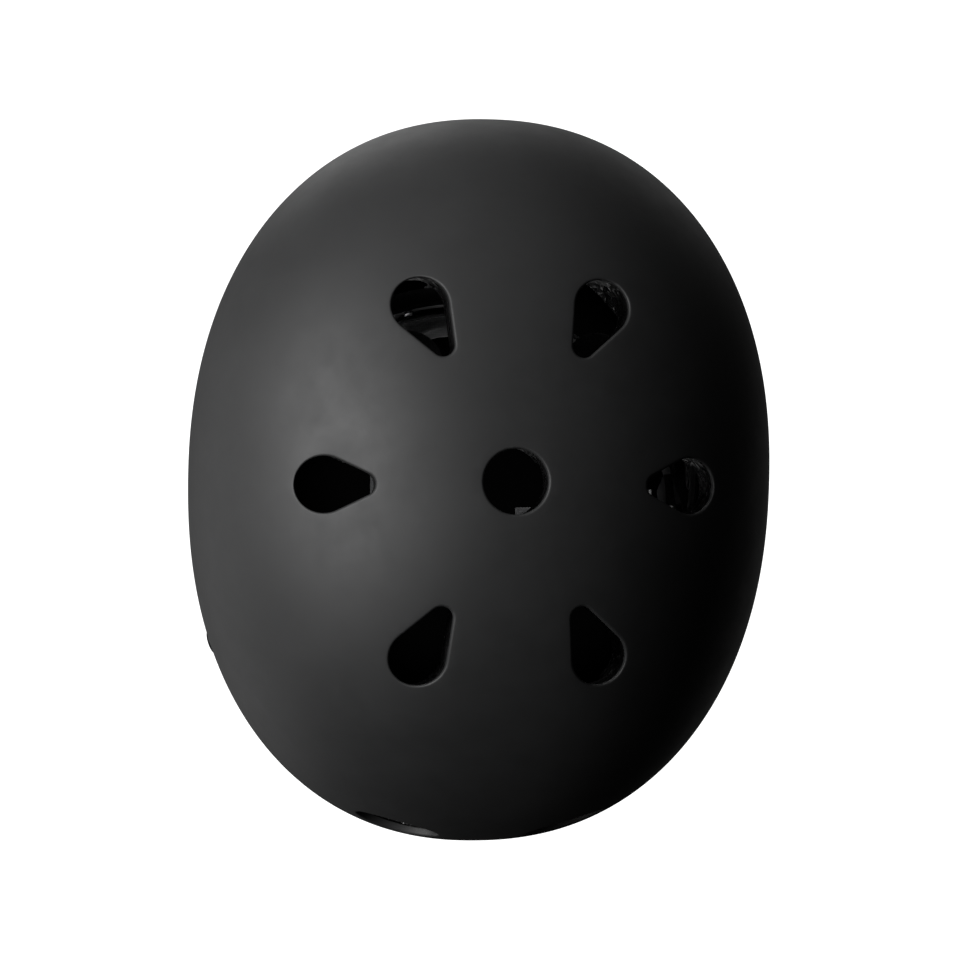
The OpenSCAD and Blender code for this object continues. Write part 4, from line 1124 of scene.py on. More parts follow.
def outline_inset(outline, gap):
    """An outline moved inwards by a gap."""
    side = np.roll(outline, -1, 0) - np.roll(outline, 1, 0)
    inward = unit(np.stack([-side[:, 1], side[:, 0]], -1))
    moved = outline + inward * gap
    if not inside(moved[:1], outline)[0]:
        moved = outline - inward * gap
    return moved


def swell(piece, held, sizes):
    """Blows the cover up a little with a cloth simulation, so that it puckers along its welded edge."""
    start = np.array([v.co for v in piece.data.vertices], float)
    group = piece.vertex_groups.new(name="held")
    group.add([int(k) for k in np.where(held)[0]], 1.0, "REPLACE")
    cloth = piece.modifiers.new("Cloth", "CLOTH")
    cloth.settings.vertex_group_mass = "held"
    cloth.settings.use_pressure = True
    cloth.settings.uniform_pressure_force = sizes.pad_pressure
    cloth.settings.effector_weights.gravity = 0
    cloth.settings.quality = 6
    cloth.settings.mass = 0.15
    cloth.settings.tension_stiffness = cloth.settings.compression_stiffness = 8
    cloth.settings.bending_stiffness = 0.05
    cloth.settings.shrink_min = -0.05
    cloth.collision_settings.use_collision = False
    scene = bpy.context.scene
    for k in range(SWELL_FRAMES):
        scene.frame_set(k + 1)
    graph = bpy.context.evaluated_depsgraph_get()
    moved = piece.evaluated_get(graph).data
    end = np.array([v.co for v in moved.vertices], float)
    piece.modifiers.remove(cloth)
    piece.vertex_groups.clear()
    scene.frame_set(1)
    step = end - start
    length = np.linalg.norm(step, axis=1, keepdims=True)
    limit = sizes.pad_swell
    step *= np.tanh(length / limit) * limit / np.maximum(length, 1e-9)
    piece.data.vertices.foreach_set("co", (start + step).ravel())
    piece.data.update()


class HELMET_OT_pads(bpy.types.Operator):
    """Make the comfort pads in the head cavity"""
    bl_idname = "helmet.pads"
    bl_label = "Comfort pads"

    def execute(self, context):
        sizes = context.scene.helmet_sizes

        def end_wall(towards, z0):
            def carry(q):
                p = pad_dome.out_to(q[:, 0], z0 + q[:, 1], towards)
                return p, -pad_dome.normal(p)
            return carry

        def crown(s):
            def carry(q):
                p = pad_dome.over(s * crown_x + q[:, 0], crown_y + q[:, 1])
                return p, -pad_dome.normal(p)
            return carry

        high, corner = 25 * MM, 8 * MM
        crown_x, crown_y = 34 * MM, 10.5 * MM
        slim = soft_box(high, 86 * MM, 12.4 * MM)
        lines = []
        for name, outline, carry in (
                ("brow_pad", soft_box(124 * MM, high, corner), end_wall(-math.pi / 2, -15 * MM)),
                ("back_pad", soft_box(76 * MM, high, corner), end_wall(math.pi / 2, 27 * MM)),
                ("left_side_pad", soft_box(92 * MM, high, corner), end_wall(0.0, 22 * MM)),
                ("right_side_pad", soft_box(92 * MM, high, corner), end_wall(math.pi, 22 * MM)),
                ("left_crown_pad", slim, crown(1)),
                ("right_crown_pad", slim, crown(-1))):
            piece, line = pad_piece(name + "_cover", outline, carry, sizes)
            settle(piece, "pad", name)
            lines.append(line)
        settle(stitches("pad_stitches", lines), "webbing", body="helmet")
        return {"FINISHED"}


# Webbing

# The webbing's length past a rivet, and its distance from the shell.
STRAP_TAIL = 9 * MM
STRAP_GAP = 0.6 * MM


def smooth_path(points, normals, step, window):
    """An even path along a broken line, with its corners rounded over a length."""
    points, normals = np.asarray(points, float), np.asarray(normals, float)
    run = run_along(points)
    fine = np.arange(-window, run[-1] + window, step / 4)
    first, last = unit(points[1] - points[0]), unit(points[-1] - points[-2])
    before, past = np.minimum(fine, 0), np.maximum(fine - run[-1], 0)
    walked = sampled(points, run, fine) + np.outer(before, first) + np.outer(past, last)
    half = max(1, int(window / (step / 4) / 2))
    kernel = np.hanning(2 * half + 3)[1:-1]
    kernel /= kernel.sum()
    inner = (fine >= 0) & (fine <= run[-1])

    def blur(values):
        return np.stack([np.convolve(column, kernel, "same") for column in values.T], -1)[inner][::4]

    return blur(walked), unit(blur(sampled(normals, run, fine)))


def webbing_ring(half_w, half_t):
    """The webbing's section, flat with round edges, as places across and out."""
    flat_half = half_w - half_t
    turn = np.radians(np.linspace(-90, 90, 7))
    right = np.column_stack([flat_half + half_t * np.cos(turn), half_t * np.sin(turn)])
    flat = np.linspace(-flat_half, flat_half, 9)[1:-1]
    top = np.column_stack([flat[::-1], np.full(len(flat), half_t)])
    return np.concatenate([right, top, -right, -top])


def ribbon(name, points, normals):
    """Flat webbing along a path, with round edges and its weave laid out in metres."""
    points, normals = np.asarray(points, float), np.asarray(normals, float)
    tangent = unit(np.gradient(points, axis=0))
    across = unit(np.cross(normals, tangent))
    out = unit(np.cross(tangent, across))
    half_t = WEB_T / 2
    ring = webbing_ring(WEB_W / 2, half_t)
    run = run_along(points)
    skin = Skin()
    rows = [skin.add(p + ring[:, :1] * a + ring[:, 1:] * o) for p, a, o in zip(points, across, out)]
    skin.bands(rows)
    bulge = half_t * 0.4
    for row, centre, turn in ((rows[0], points[0] - tangent[0] * bulge, 1),
                              (rows[-1], points[-1] + tangent[-1] * bulge, -1)):
        skin.fan(row[::turn], skin.add([centre])[0])
    weave = [np.column_stack([ring[:, 0], np.full(len(ring), walked)]) for walked in run]
    place = np.concatenate([*weave, [(0, -half_t), (0, run[-1] + half_t)]])
    piece = skin.object(name, material("webbing"), sharp=60)
    layer = piece.data.uv_layers.new(name="weave")
    loops = np.zeros(len(piece.data.loops), np.int32)
    piece.data.loops.foreach_get("vertex_index", loops)
    layer.data.foreach_set("uv", place[loops].astype(np.float32).ravel())
    return piece


def hanging_path(side):
    """Section centres and directions of a front or rear strap, from its end past the rivet to the divider."""
    lean, (ry, rz), tuck = LEANS[side]
    rivet = side_point(outer_dome, ry, rz)
    end = divider_point(lean, DIVIDER_REACH)
    start = -STRAP_TAIL / np.linalg.norm(end - rivet)
    centres, faces = [], []
    for t in np.linspace(start, tuck, 8):
        p = side_point(outer_dome, ry + (end[1] - ry) * t, rz + (end[2] - rz) * t)
        n = outer_dome.normal(p)
        centres.append(p - n * (SHELL_WALL + STRAP_GAP + WEB_T / 2))
        faces.append(n)
    for along in (DIVIDER_REACH + 6 * MM, DIVIDER_REACH, STRAP_STOP):
        centres.append(divider_point(lean, along))
        faces.append(np.array([1.0, 0, 0]))
    return smooth_path(centres, faces, 1.5 * MM, 13 * MM)


def loop_axes():
    """Matrix from the chin loop's plane, as across, up and through, to the helmet."""
    c, s = math.cos(-LOOP_LEAN), math.sin(-LOOP_LEAN)
    return np.array([[1, 0, 0], [0, c, -s], [0, s, c]])


def in_loop(x, z, through=0.0):
    """Points of the chin loop's plane, measured from the divider's foot at mid-width."""
    x, z = np.broadcast_arrays(np.asarray(x, float), np.asarray(z, float))
    local = np.stack([x, np.full_like(x, through), z], -1)
    return local @ loop_axes().T + np.array([0, DIVIDER[1], DIVIDER[2]])


def loop_ribbon(name, path):
    """Webbing along a path in the chin loop's plane."""
    path = dense(path, 0.8 * MM)
    flat = np.column_stack([path[:, 0], np.zeros(len(path)), path[:, 1]])
    side = np.gradient(flat, axis=0)
    normal = unit(np.stack([side[:, 2], np.zeros(len(flat)), -side[:, 0]], -1))
    points, faces = smooth_path(flat, normal, 1.2 * MM, 3 * MM)
    turn = loop_axes()
    return ribbon(name, points @ turn.T + np.array([0, DIVIDER[1], DIVIDER[2]]), faces @ turn.T)


def arc(x, z, r, a, b, count):
    ang = np.radians(np.linspace(a, b, count))
    return [(x + r * math.cos(k), z + r * math.sin(k)) for k in ang]


# Where the chin strap goes round the buckle's bars, in the chin loop's plane.
LOOP_TOP = 16 * MM
BAR_R = 1.6 * MM
EYE_R = BAR_R + 0.1 * MM
LAYER = EYE_R + WEB_T / 2
SOCKET_BAR = 28 * MM - BAR_R
PLUG_BAR = -6 * MM
LADDER_BAR = -17 * MM + BAR_R + 0.4 * MM
TAIL_OUT = WEB_T + 0.25 * MM


def left_loop_path():
    """Down from the left divider, round to the buckle, round the socket's bar and back under itself."""
    down = [(DIVIDER[0], z) for z in np.linspace(LOOP_TOP, -LOOP_DROP, 24)]
    corner = arc(LOOP_FLAT, -LOOP_DROP, LOOP_R, 0, -90, 40)[1:]
    eye = arc(SOCKET_BAR, -STRAP_DROP, LAYER, 90, 270, 16)
    back = [(SOCKET_BAR + 4 * MM, -STRAP_DROP - LAYER + 0.05 * MM),
            (LOOP_FLAT - 2 * MM, -STRAP_DROP - WEB_T - 0.15 * MM),
            (LOOP_FLAT + 3 * MM, -STRAP_DROP - WEB_T - 0.12 * MM)]
    return down + corner + [(SOCKET_BAR + 4.5 * MM, -STRAP_DROP + LAYER - 0.6 * MM)] + eye + back


def right_loop_path():
    """Down from the right divider, over the ladder bar, round the plug's bar and back as the loose tail."""
    down = [(-DIVIDER[0], z) for z in np.linspace(LOOP_TOP, -LOOP_DROP, 24)]
    corner = arc(-LOOP_FLAT, -LOOP_DROP, LOOP_R, 180, 270, 40)[1:]
    z = -STRAP_DROP
    split, join = LADDER_BAR - 2 * MM, -LOOP_FLAT + 8 * MM
    over = [(join, z), (split, z + LAYER), (PLUG_BAR, z + LAYER)]
    eye = arc(PLUG_BAR, z, LAYER, 90, -90, 16)[1:]
    back = [(split, z - LAYER), (join, z - TAIL_OUT), (-LOOP_FLAT, z - TAIL_OUT)]
    tail = arc(-LOOP_FLAT, -LOOP_DROP, LOOP_R + TAIL_OUT, -90, -132, 20)[1:]
    return down + corner + over + eye + back + tail


def dense(path, step):
    path = np.asarray(path, float)
    run = run_along(path)
    return sampled(path, run, np.linspace(0, run[-1], int(run[-1] / step)))


class HELMET_OT_straps(bpy.types.Operator):
    """Make the hanging straps and the chin strap out of woven webbing"""
    bl_idname = "helmet.straps"
    bl_label = "Webbing"

    def execute(self, context):
        for side in ("front", "rear"):
            points, faces = hanging_path(side)
            for hand, s in (("left", 1), ("right", -1)):
                flip = np.array([s, 1, 1])
                strap = ribbon(f"{hand}_{side}_webbing", points * flip, faces * flip)
                settle(strap, "webbing", f"{hand}_{side}_strap")
        left = loop_ribbon("left_chin_webbing", left_loop_path())
        settle(left, "webbing", "left_chin_strap")
        settle(stitches("chin_bar_tacks", list(self.tacks())), "webbing", body="helmet")
        right = loop_ribbon("right_chin_webbing", right_loop_path())
        hem = stitches("hem", list(self.hem()))
        whole = joined("right_chin_webbing", [right, hem])
        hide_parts("right_chin_strap")
        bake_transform(whole)
        return {"FINISHED"}

    def row(self, x, z):
        """A row of stitches across the webbing at a place in the chin loop's plane."""
        return np.concatenate([in_loop([x], [z], y) for y in np.linspace(-5.6, 5.6, 12) * MM]), False

    def tacks(self):
        """Three rows through both layers of the left webbing."""
        for x in np.linspace(LOOP_FLAT - 3 * MM, LOOP_FLAT + 1.6 * MM, 3):
            for z in (WEB_T / 2 + 0.1 * MM, -1.5 * WEB_T - 0.25 * MM):
                yield self.row(x, -STRAP_DROP + z)

    def hem(self):
        """Two rows on both faces of the loose tail's end."""
        for turn in (-128, -124):
            for lift in (WEB_T / 2 + 0.1 * MM, -WEB_T / 2 - 0.1 * MM):
                yield self.row(*arc(-LOOP_FLAT, -LOOP_DROP, LOOP_R + TAIL_OUT + lift, turn, turn, 1)[0])


class HELMET_OT_rivets(bpy.types.Operator):
    """Make the strap rivets and their washers"""
    bl_idname = "helmet.rivets"
    bl_label = "Rivets"

    def execute(self, context):
        sizes = context.scene.helmet_sizes
        places = rivet_places()
        points = [p for p, _ in places]
        outward = [axes[:, 2] for _, axes in places]
        piece = grown("rivets", point_mesh(points, outward=outward),
                      tree("rivet"), material("rivet"), sharp=35,
                      head_radius=sizes.rivet_head_radius, head_height=sizes.rivet_head_height)
        settle(piece, "rivet", "strap_rivets")
        softened("rivet_washers", "steel", 0.15 * MM)
        return {"FINISHED"}


# Strap hardware

class HELMET_OT_dividers(bpy.types.Operator):
    """Make the side dividers and their levers"""
    bl_idname = "helmet.dividers"
    bl_label = "Dividers and levers"

    def execute(self, context):
        for hand, s in (("left", 1), ("right", -1)):
            softened(f"{hand}_divider", "moulding", 0.6 * MM, segments=3)
            low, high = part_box(f"{hand}_lever")
            face = (high.x if s > 0 else low.x) - s * 1.2 * MM
            z = np.linspace(low.z + 5 * MM, low.z + 12 * MM, 4)
            points = [(face, DIVIDER[1], k) for k in z]
            ridge = bars(f"{hand}_lever_ridges", points, (0, 1, 0), (s, 0, 0),
                         10.5 * MM, 1.0 * MM, 0.9 * MM, "moulding")
            softened(f"{hand}_lever", "moulding", 0.35 * MM, extra=[ridge])
        return {"FINISHED"}


class HELMET_OT_buckle(bpy.types.Operator):
    """Make the side-release buckle and the tail's keeper"""
    bl_idname = "helmet.buckle"
    bl_label = "Buckle"

    def execute(self, context):
        _, through, up = loop_axes().T
        points = [in_loop(x * MM, -STRAP_DROP + s * 4.5 * MM)
                  for s in (1, -1) for x in (11, 13.2, 15.4, 17.6)]
        outward = [up * s for s in (1, -1) for _ in range(4)]
        grip = bars("socket_grip", points, through, outward, 16 * MM, 1.1 * MM, 0.9 * MM, "moulding")
        softened("buckle_socket", "moulding", 0.7 * MM, extra=[grip], segments=3)
        softened("buckle_plug", "moulding", 0.5 * MM, segments=3)
        softened("buckle_prongs", "moulding", 0.4 * MM)
        softened("tail_keeper", "knob", 0.35 * MM)
        return {"FINISHED"}


class HELMET_OT_chin_pad(bpy.types.Operator):
    """Make the padded sleeve on the chin strap"""
    bl_idname = "helmet.chin_pad"
    bl_label = "Chin pad"

    def execute(self, context):
        half_w, core = WEB_W / 2 + 3 * MM, WEB_T / 2 + 0.35 * MM
        thick = 3.2 * MM
        first, last = -84, -22
        section = []
        for c, s in circle(40):
            flat = abs(c) ** 0.55 * (1 if c > 0 else -1)
            edge = max(0.0, 1 - abs(flat)) ** 0.45
            section.append((flat * half_w, (core + thick * edge) * (1 if s > 0 else -1) * min(1, abs(s) * 6)))
        skin = Skin()
        rows = []
        span = np.linspace(first, last, 44)
        ends = np.minimum(1, np.minimum(span - span[0], span[-1] - span) / 5)
        for a, e in zip(np.radians(span), ends):
            swell_by = 0.35 + 0.65 * math.sqrt(max(0.0, 1 - (1 - e) ** 2))
            ring = []
            for y, h in section:
                face = math.copysign(core, h)
                r = LOOP_R + (face + (h - face) * swell_by if abs(h) > core else h)
                ring.append(in_loop(LOOP_FLAT + r * math.cos(a), -LOOP_DROP + r * math.sin(a), y))
            rows.append(skin.add(np.array(ring)))
        skin.bands(rows)
        for row, turn in ((rows[0], 1), (rows[-1], -1)):
            centre = skin.add([np.mean([skin.points[k] for k in row], 0)])[0]
            skin.fan(row[::turn], centre)
        piece = skin.object("chin_sleeve", material("pad"))
        settle(piece, "pad", "chin_pad")
        lines = []
        for y in (-half_w + 2.2 * MM, half_w - 2.2 * MM):
            for s in (1, -1):
                a = np.radians(np.linspace(first + 4, last - 4, 40))
                r = LOOP_R + s * (core + thick * 0.62)
                lines.append((in_loop(LOOP_FLAT + r * np.cos(a), -LOOP_DROP + r * np.sin(a), y), False))
        settle(stitches("chin_sleeve_stitches", lines), "webbing", body="helmet")
        return {"FINISHED"}


# Cradle

def nape_point(local):
    """Points of the cradle's band frame, in metres, carried to the helmet."""
    local = np.asarray(local, float) + NAPE_OFFSET
    c, s = math.cos(-CRADLE_PITCH), math.sin(-CRADLE_PITCH)
    return local @ np.array([[1, 0, 0], [0, c, -s], [0, s, c]]).T + PIN


def nape_direction(local):
    return nape_point(local) - nape_point(np.zeros(3))


class HELMET_OT_cradle(bpy.types.Operator):
    """Make the temple anchors, guides and bands of the cradle"""
    bl_idname = "helmet.cradle"
    bl_label = "Cradle"

    def execute(self, context):
        for hand in ("left", "right"):
            softened(f"{hand}_temple_anchor", "moulding", 0.4 * MM)
            softened(f"{hand}_pin_cap", "moulding", 0.4 * MM)
            softened(f"{hand}_temple_guide", "band", 0.5 * MM)
            softened(f"{hand}_band", "band", 0.25 * MM)
        return {"FINISHED"}


class HELMET_OT_dial(bpy.types.Operator):
    """Make the dial, its housing and the nape pad"""
    bl_idname = "helmet.dial"
    bl_label = "Dial and housing"

    def execute(self, context):
        sizes = context.scene.helmet_sizes
        softened("dial_housing", "moulding", 0.8 * MM, segments=3)
        for node, slot, width in (("housing_plate", "moulding", 0.4), ("housing_screws", "steel", 0.15),
                                  ("dial_pinion", "moulding", 0.08), ("dial_screw", "steel", 0.15),
                                  ("dial_washer", "steel", 0.1)):
            softened(node, slot, width * MM)
        self.knob(sizes)
        self.nape_pad(sizes)
        return {"FINISHED"}

    def knob(self, sizes):
        axis = unit(nape_direction([0, 1, 0]))
        centre = nape_point([0, BAND_R, 0])
        x, up = np.array([1.0, 0, 0]), unit(nape_direction([0, 0, 1]))
        face, radius, length = sizes.knob_offset, sizes.knob_radius - 0.6 * MM, 7 * MM
        shaft = 3 * MM
        # From the shaft over the skirt to the dished face, as steps in from the radius and down from the top.
        dish = [(0.0, 2.2), (0.5, 1.0), (1.6, 0.2), (3.0, 0.0), (4.2, 0.1), (5.2, 0.9), (6.2, 1.1)]
        profile = [(shaft, 1.1 * MM), (shaft, face), (radius - 1.2 * MM, face), (radius, face + 0.8 * MM)]
        profile += [(radius - step * MM, face + length - drop * MM) for step, drop in dish]
        skin = Skin()
        round_out = circle(72) @ np.stack([x, up])
        rows = [skin.add(centre + axis * height + r * round_out) for r, height in profile]
        skin.bands(rows)
        skin.fan(rows[-1], skin.add([centre + axis * profile[-1][1]])[0])
        skin.fan(rows[0][::-1], skin.add([centre + axis * profile[0][1]])[0])
        body = skin.object("knob_body", material("knob"), sharp=35)
        out = circle(sizes.knob_ribs) @ np.stack([x, up])
        points = centre + axis * (face + length * 0.46) + out * radius
        ribs = bars("knob_ribs", points, axis, out, length * 0.66, 2.0 * MM, 1.5 * MM, "knob")
        settle(joined("dial_grip", [body, ribs]), "knob", "dial_knob")

    def nape_pad(self, sizes):
        outer = sizes.nape_pad_radius
        half = (sizes.nape_pad_angle * outer, sizes.nape_pad_half_height)

        def carry(q):
            a = math.pi / 2 + q[:, 0] / outer
            p = nape_point(np.stack([outer * np.cos(a), outer * np.sin(a), q[:, 1]], -1))
            n = nape_direction(np.stack([np.cos(a), np.sin(a), np.zeros_like(a)], -1))
            return p, -n

        outline = soft_box(2 * half[0], 2 * half[1], 5 * MM)
        piece, line = pad_piece("nape_pad_cover", outline, carry, sizes, thick=5 * MM)
        settle(piece, "pad", "nape_pad")
        settle(stitches("nape_pad_stitches", [line]), "webbing", body="nape")


# Stage

FLOOR_SIZE = 8.0
FLOOR_GREY = 0.86
# How grey the floor is to light that bounces, and how grey the painted shadow is in the middle of the
# helmet's shadow.
BOUNCED_GREY = 0.02
PAINTED_SHADOW_GREY = 0.002
# Where the painted shadow starts to fade, as a share of its radii.
PAINTED_SHADOW_EDGE = 0.92


def lamp(name, kind, direction, strength, size):
    """A lamp that looks at the helmet from a direction."""
    data = bpy.data.lights.new(name, kind)
    data.energy = strength
    if kind == "AREA":
        data.shape = "DISK"
        data.size = size
    else:
        data.angle = size
    made = placed(name, data)
    way = Vector(unit(direction))
    made.location = Vector((0, 0, 0.03)) + way * 1.5
    made.rotation_mode = "QUATERNION"
    made.rotation_quaternion = way.to_track_quat("Z", "Y")
    return made


def lamps_named(*starts):
    lights = [made for made in bpy.context.scene.objects if made.type == "LIGHT"]
    return [made for made in lights if made.name.startswith(starts)]


def link_lights(lamps, what, state, *pieces):
    """Keeps lamps' light or shadows to some pieces, or off them."""
    for made in lamps:
        group = getattr(made.light_linking, what)
        if group is None:
            group = bpy.data.collections.new(f"{made.name} {what}")
            setattr(made.light_linking, what, group)
        for piece in pieces:
            group.objects.link(piece)
            group.collection_objects[-1].light_linking.link_state = state


def seen(tree, colour, hidden, mirrored):
    """A grey that camera and transmission rays see whole, glossy rays in part and all others dimmed."""
    paths = add_node(tree, "ShaderNodeLightPath").outputs
    direct = add_node(tree, "ShaderNodeMath", {0: paths["Is Camera Ray"], 1: paths["Is Transmission Ray"]},
                      operation="MAXIMUM").outputs[0]

    def chosen(ray, low, high):
        return add_node(tree, "ShaderNodeMapRange", {"Value": ray, "To Min": low, "To Max": high}).outputs[0]

    return chosen(direct, chosen(paths["Is Glossy Ray"], hidden, mirrored), colour)


class HELMET_OT_stage(bpy.types.Operator):
    """Make the floor, the lamps, the world and the camera"""
    bl_idname = "helmet.stage"
    bl_label = "Stage"

    def execute(self, context):
        looks = context.scene.helmet_stage
        scene = context.scene
        skin = Skin()
        half = FLOOR_SIZE / 2
        level = CAD_BOX[0].z - 1.5 * MM
        skin.add([(-half, -half, level), (half, -half, level), (half, half, level), (-half, half, level)])
        skin.faces.append((0, 1, 2, 3))
        view = camera(looks)
        scene.camera = view
        back = view.matrix_world.to_3x3().col[2]
        finish = Finish("Pale floor", (FLOOR_GREY,) * 3, 0.9, Specular_IOR_Level=0.0)
        # The floor's colour is painted dark in the middle of the helmet's shadow, a painted shadow, so that
        # none of it shows lit through the vents.
        scale = Vector((1 / looks.painted_shadow_radii[0], 1 / looks.painted_shadow_radii[1], 0.0))
        centre = Vector((back.x, back.y, 0.0)) * level / back.z
        painted_shadow_spot = finish.node("ShaderNodeMapping",
                           {"Vector": finish.coords, "Location": -centre * scale, "Scale": scale})
        painted_shadow_spot = finish.node("ShaderNodeVectorMath", {0: painted_shadow_spot.outputs[0]}, operation="LENGTH").outputs["Value"]
        floor_grey_with_painted_shadow = finish.spread(painted_shadow_spot, PAINTED_SHADOW_EDGE, 1.0, PAINTED_SHADOW_GREY, FLOOR_GREY)
        finish.set("Base Color", seen(finish.tree, floor_grey_with_painted_shadow, BOUNCED_GREY, looks.mirrored_floor))
        # From below, the floor can be seen through.
        behind = finish.node("ShaderNodeNewGeometry").outputs["Backfacing"]
        finish.set("Alpha", finish.math("SUBTRACT", 1.0, behind))
        floor = skin.object("floor", finish.material, smooth=False)

        over_floor = [lamp("floor_lamp", "SUN", back, looks.floor_strength, 0.16)]
        over, low, fill = [
            [lamp(name, "AREA", towards(around, above), watts, 1.0) for name, around, above, watts in group]
            for group in (
                (("key_lamp", 165, 30, looks.key_strength), ("front_lamp", 180, 33, looks.front_strength),
                 ("top_lamp", 180, 80, looks.top_strength), ("rim_lamp", 100, 25, looks.rim_strength)),
                (("low_left_lamp", -10, -55, looks.low_left_strength),
                 ("low_right_lamp", 174, -30, looks.low_right_strength),
                 ("low_front_lamp", 212, -38, looks.low_front_strength),
                 ("low_back_lamp", 106, -38, looks.low_back_strength),
                 ("low_far_lamp", 58, -38, looks.low_far_strength)),
                (*((f"fill_lamp_{k + 1}", 90 * k - 90, 5, looks.fill_strength) for k in range(4)),
                 ("under_lamp", -90, -38, looks.under_strength)))]
        link_lights(over_floor, "receiver_collection", "INCLUDE", floor)
        link_lights(over + fill, "receiver_collection", "EXCLUDE", floor)
        link_lights(over + low + fill, "blocker_collection", "EXCLUDE", floor)

        world = bpy.data.worlds.new("White studio")
        world.use_nodes = True
        ground = world.node_tree.nodes["Background"]
        ground.inputs["Color"].default_value = (1, 1, 1, 1)
        strength = seen(world.node_tree, 1.0, looks.world_strength, looks.mirrored_world)
        world.node_tree.links.new(strength, ground.inputs["Strength"])
        scene.world = world
        scene.view_settings.view_transform = "Standard"
        return {"FINISHED"}


def towards(azimuth, elevation):
    """A direction, in degrees from +X and above the horizon."""
    a, e = math.radians(azimuth), math.radians(elevation)
    return math.cos(a) * math.cos(e), math.sin(a) * math.cos(e), math.sin(e)


def camera(looks):
    """The photograph's camera: above the crown, leaning a little to the wearer's right."""
    side, pitch, roll = looks.camera_side, looks.camera_pitch, looks.camera_roll
    right = np.array([math.cos(side), 0, math.sin(side)])
    back = np.array([-math.sin(side) * math.cos(pitch), math.sin(pitch), math.cos(side) * math.cos(pitch)])
    up = np.cross(back, right)
    c, s = math.cos(roll), math.sin(roll)
    right, up = c * right + s * up, c * up - s * right
    data = bpy.data.cameras.new("camera")
    data.lens, data.sensor_width = looks.camera_lens, 36
    data.shift_x, data.shift_y = looks.camera_shift
    made = placed("camera", data)
    turn = Matrix(np.column_stack([right, up, back]).tolist())
    made.rotation_mode = "QUATERNION"
    made.rotation_quaternion = turn.to_quaternion()
    made.location = Vector(back) * looks.camera_distance
    bpy.context.view_layer.update()
    return made


# Settings

def number(name, about, value, **more):
    return FloatProperty(name=name, description=about, default=value, **more)


def amount(name, about, value):
    return number(name, about, value, min=0.0)


def metres(name, about, value):
    return number(name, about, value, min=0.0, precision=5, unit="LENGTH")


def radians(name, about, value):
    return number(name, about, value, unit="ROTATION")


def portion(name, about, value):
    return number(name, about, value, min=0.0, max=1.0, subtype="FACTOR")


def power(name, place, watts):
    return amount(name, f"Power of the lamp {place} in watts", watts)


def tint(name, about, value):
    return FloatVectorProperty(name=name, description=about, default=value, size=3,
                               min=0.0, max=1.0, subtype="COLOR")


class HelmetSizes(bpy.types.PropertyGroup):
    lip_radius: metres("Lip radius", "Radius over which the shell rolls into a vent", 1.0 * MM)
    shell_spacing: metres("Shell mesh size", "Distance between the shell's mesh points", 2.4 * MM)
    pad_spacing: metres("Pad mesh size", "Distance between a pad's mesh points", 1.9 * MM)
    pad_edge_width: metres("Pad edge width", "Width of the thin welded edge round a pad", 2.6 * MM)
    pad_edge_thickness: metres("Pad edge thickness", "Thickness of a pad's welded edge", 1.1 * MM)
    pad_shoulder: metres("Pad shoulder", "Width over which a pad rises from its edge", 5 * MM)
    pad_swell: metres("Pad swell", "Furthest that a pad's cover may move in the simulation", 1.0 * MM)
    pad_pressure: amount("Pad pressure", "Pressure that fills a pad's cover", 4.0)
    stitch_pitch: metres("Stitch pitch", "Distance from stitch to stitch", 2.6 * MM)
    stitch_length: metres("Stitch length", "Length of one stitch", 2.1 * MM)
    thread_thickness: metres("Thread thickness", "Thickness of the sewing thread", 0.5 * MM)
    rivet_head_radius: metres("Rivet head radius", "Radius of a rivet's head", 4.6 * MM)
    rivet_head_height: metres("Rivet head height", "Height of a rivet's domed head", 1.3 * MM)
    knob_radius: metres("Knob radius", "Radius of the dial knob", 14 * MM)
    knob_offset: metres("Knob offset", "Distance of the knob's inner face from the band's middle", 5.7 * MM)
    knob_ribs: IntProperty(name="Knob ribs", description="Number of grip ribs round the knob",
                           default=18, min=6, max=36)
    nape_pad_radius: metres("Nape pad radius", "Radius of the nape pad's outer face", 75.4 * MM)
    nape_pad_half_height: metres("Nape pad half height", "Half the height of the nape pad", 9.9 * MM)
    nape_pad_angle: radians("Nape pad angle", "Half the angle that the nape pad spans", math.radians(21.5))


class HelmetFinish(bpy.types.PropertyGroup):
    shell_colour: tint("Shell", "Colour of the hard shell", (0.0115, 0.0117, 0.012))
    shell_roughness: portion("Shell roughness", "Roughness of the hard shell", 0.6)
    foam_colour: tint("Foam", "Colour of the bead foam", (0.006, 0.006, 0.0062))
    bead_size: metres("Bead size", "Size of the foam's beads", 3.4 * MM)
    pad_colour: tint("Pads", "Colour of the pads' cover", (0.028, 0.0285, 0.03))
    webbing_colour: tint("Webbing", "Colour of the webbing", (0.013, 0.013, 0.014))
    thread_colour: tint("Thread", "Colour of the sewing thread", (0.03, 0.03, 0.032))
    moulding_colour: tint("Mouldings", "Colour of the buckle, the dividers and the housing",
                          (0.016, 0.016, 0.017))
    band_colour: tint("Bands", "Colour of the cradle's bands", (0.02, 0.02, 0.021))
    knob_colour: tint("Knob", "Colour of the dial knob", (0.018, 0.018, 0.019))
    rivet_colour: tint("Rivets", "Colour of the blackened rivets", (0.06, 0.06, 0.062))
    steel_colour: tint("Steel", "Colour of the plated steel", (0.55, 0.55, 0.56))


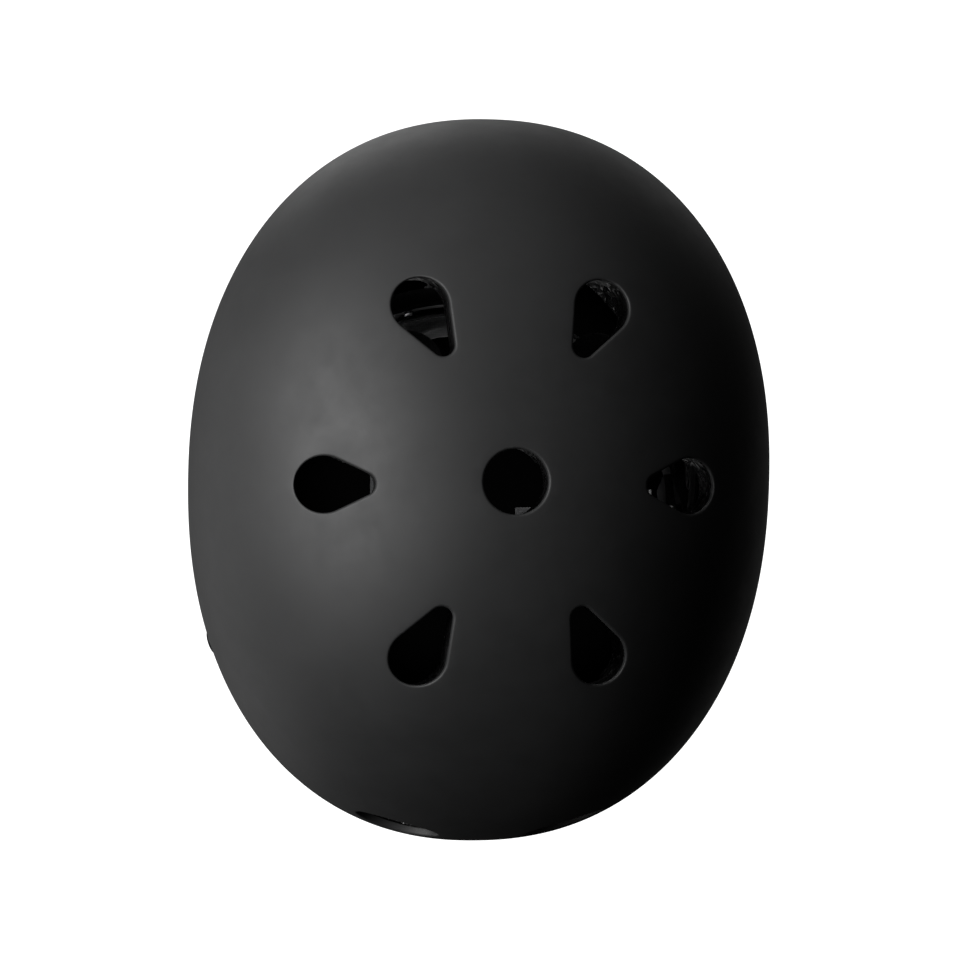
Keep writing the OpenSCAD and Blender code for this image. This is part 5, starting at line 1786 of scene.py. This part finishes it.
class HelmetStage(bpy.types.PropertyGroup):
    camera_side: radians("Camera side", "Lean of the view to the wearer's right", 0.1227)
    camera_pitch: radians("Camera pitch", "Lean of the view to the front", -0.0131)
    camera_roll: radians("Camera roll", "Turn of the picture", 0.0034)
    camera_distance: metres("Camera distance", "Distance of the camera from the head cavity's centre", 1.0)
    camera_lens: number("Lens", "Focal length in millimetres on a 36 mm sensor", 99.5)
    camera_shift: FloatVectorProperty(
        name="Shift", description="Shift of the picture, as shares of its width",
        default=(0.0012, 0.0056), size=2, precision=4)
    key_strength: power("Key lamp", "on the wearer's right", 12.5)
    front_strength: power("Front lamp", "beside the key lamp, nearer the front", 22.0)
    rim_strength: power("Rim lamp", "behind the helmet", 4.0)
    top_strength: power("Top lamp", "over the crown", 0.6)
    low_left_strength: power("Low left lamp", "below and on the wearer's left", 0.35)
    low_right_strength: power("Low right lamp", "below and on the wearer's right", 2.0)
    low_back_strength: power("Low back lamp", "below and behind the helmet", 5.4)
    low_front_strength: power("Low front lamp", "below and beside the brow", 1.9)
    low_far_strength: power("Low far lamp", "below and behind the left ear", 1.3)
    fill_strength: power("Fill lamps", "on each side of the straps", 9.0)
    under_strength: power("Under lamp", "below the brow", 3.0)
    floor_strength: amount("Floor lamp", "Irradiance of the lamp over the floor", 5.0)
    # Size of the painted shadow in the floor's colour.
    painted_shadow_radii: FloatVectorProperty(
        name="Painted shadow radii", description="Half width and half length of the dark middle of the shadow",
        default=(0.103, 0.128), size=2, precision=4, unit="LENGTH")
    mirrored_floor: portion("Mirrored floor", "Grey of the floor in reflections", 0.002)
    world_strength: amount("Ambient", "Strength of the light from all round", 0.003)
    mirrored_world: portion("Mirrored surroundings", "Grey of the surroundings in reflections", 0.002)


class HELMET_PT_panel(bpy.types.Panel):
    """Lists the helmet's sizes, finishes and pieces"""
    bl_idname = "HELMET_PT_panel"
    bl_label = "Bicycle helmet"
    bl_space_type = "VIEW_3D"
    bl_region_type = "UI"
    bl_category = "Helmet"

    def draw(self, context):
        for key in ("helmet_sizes", "helmet_finish", "helmet_stage"):
            group = getattr(context.scene, key)
            box = self.layout.box()
            for name in group.bl_rna.properties.keys():
                if name not in ("rna_type", "name"):
                    box.prop(group, name)
        for operator in STEPS:
            self.layout.operator(operator.bl_idname)


GROUPS = {"helmet_sizes": HelmetSizes, "helmet_finish": HelmetFinish, "helmet_stage": HelmetStage}
STEPS = [HELMET_OT_stage, HELMET_OT_shell, HELMET_OT_foam, HELMET_OT_pads, HELMET_OT_straps, HELMET_OT_rivets,
         HELMET_OT_dividers, HELMET_OT_buckle, HELMET_OT_chin_pad, HELMET_OT_cradle, HELMET_OT_dial]


def register():
    for cls in (*GROUPS.values(), *STEPS, HELMET_PT_panel):
        bpy.utils.register_class(cls)
    for key, cls in GROUPS.items():
        setattr(bpy.types.Scene, key, PointerProperty(type=cls))


def unregister():
    for key in GROUPS:
        delattr(bpy.types.Scene, key)
    for cls in reversed((*GROUPS.values(), *STEPS, HELMET_PT_panel)):
        bpy.utils.unregister_class(cls)


def main():
    register()
    for step in STEPS:
        area, name = step.bl_idname.split(".")
        getattr(getattr(bpy.ops, area), name)()


if __name__ == "__main__":
    main()
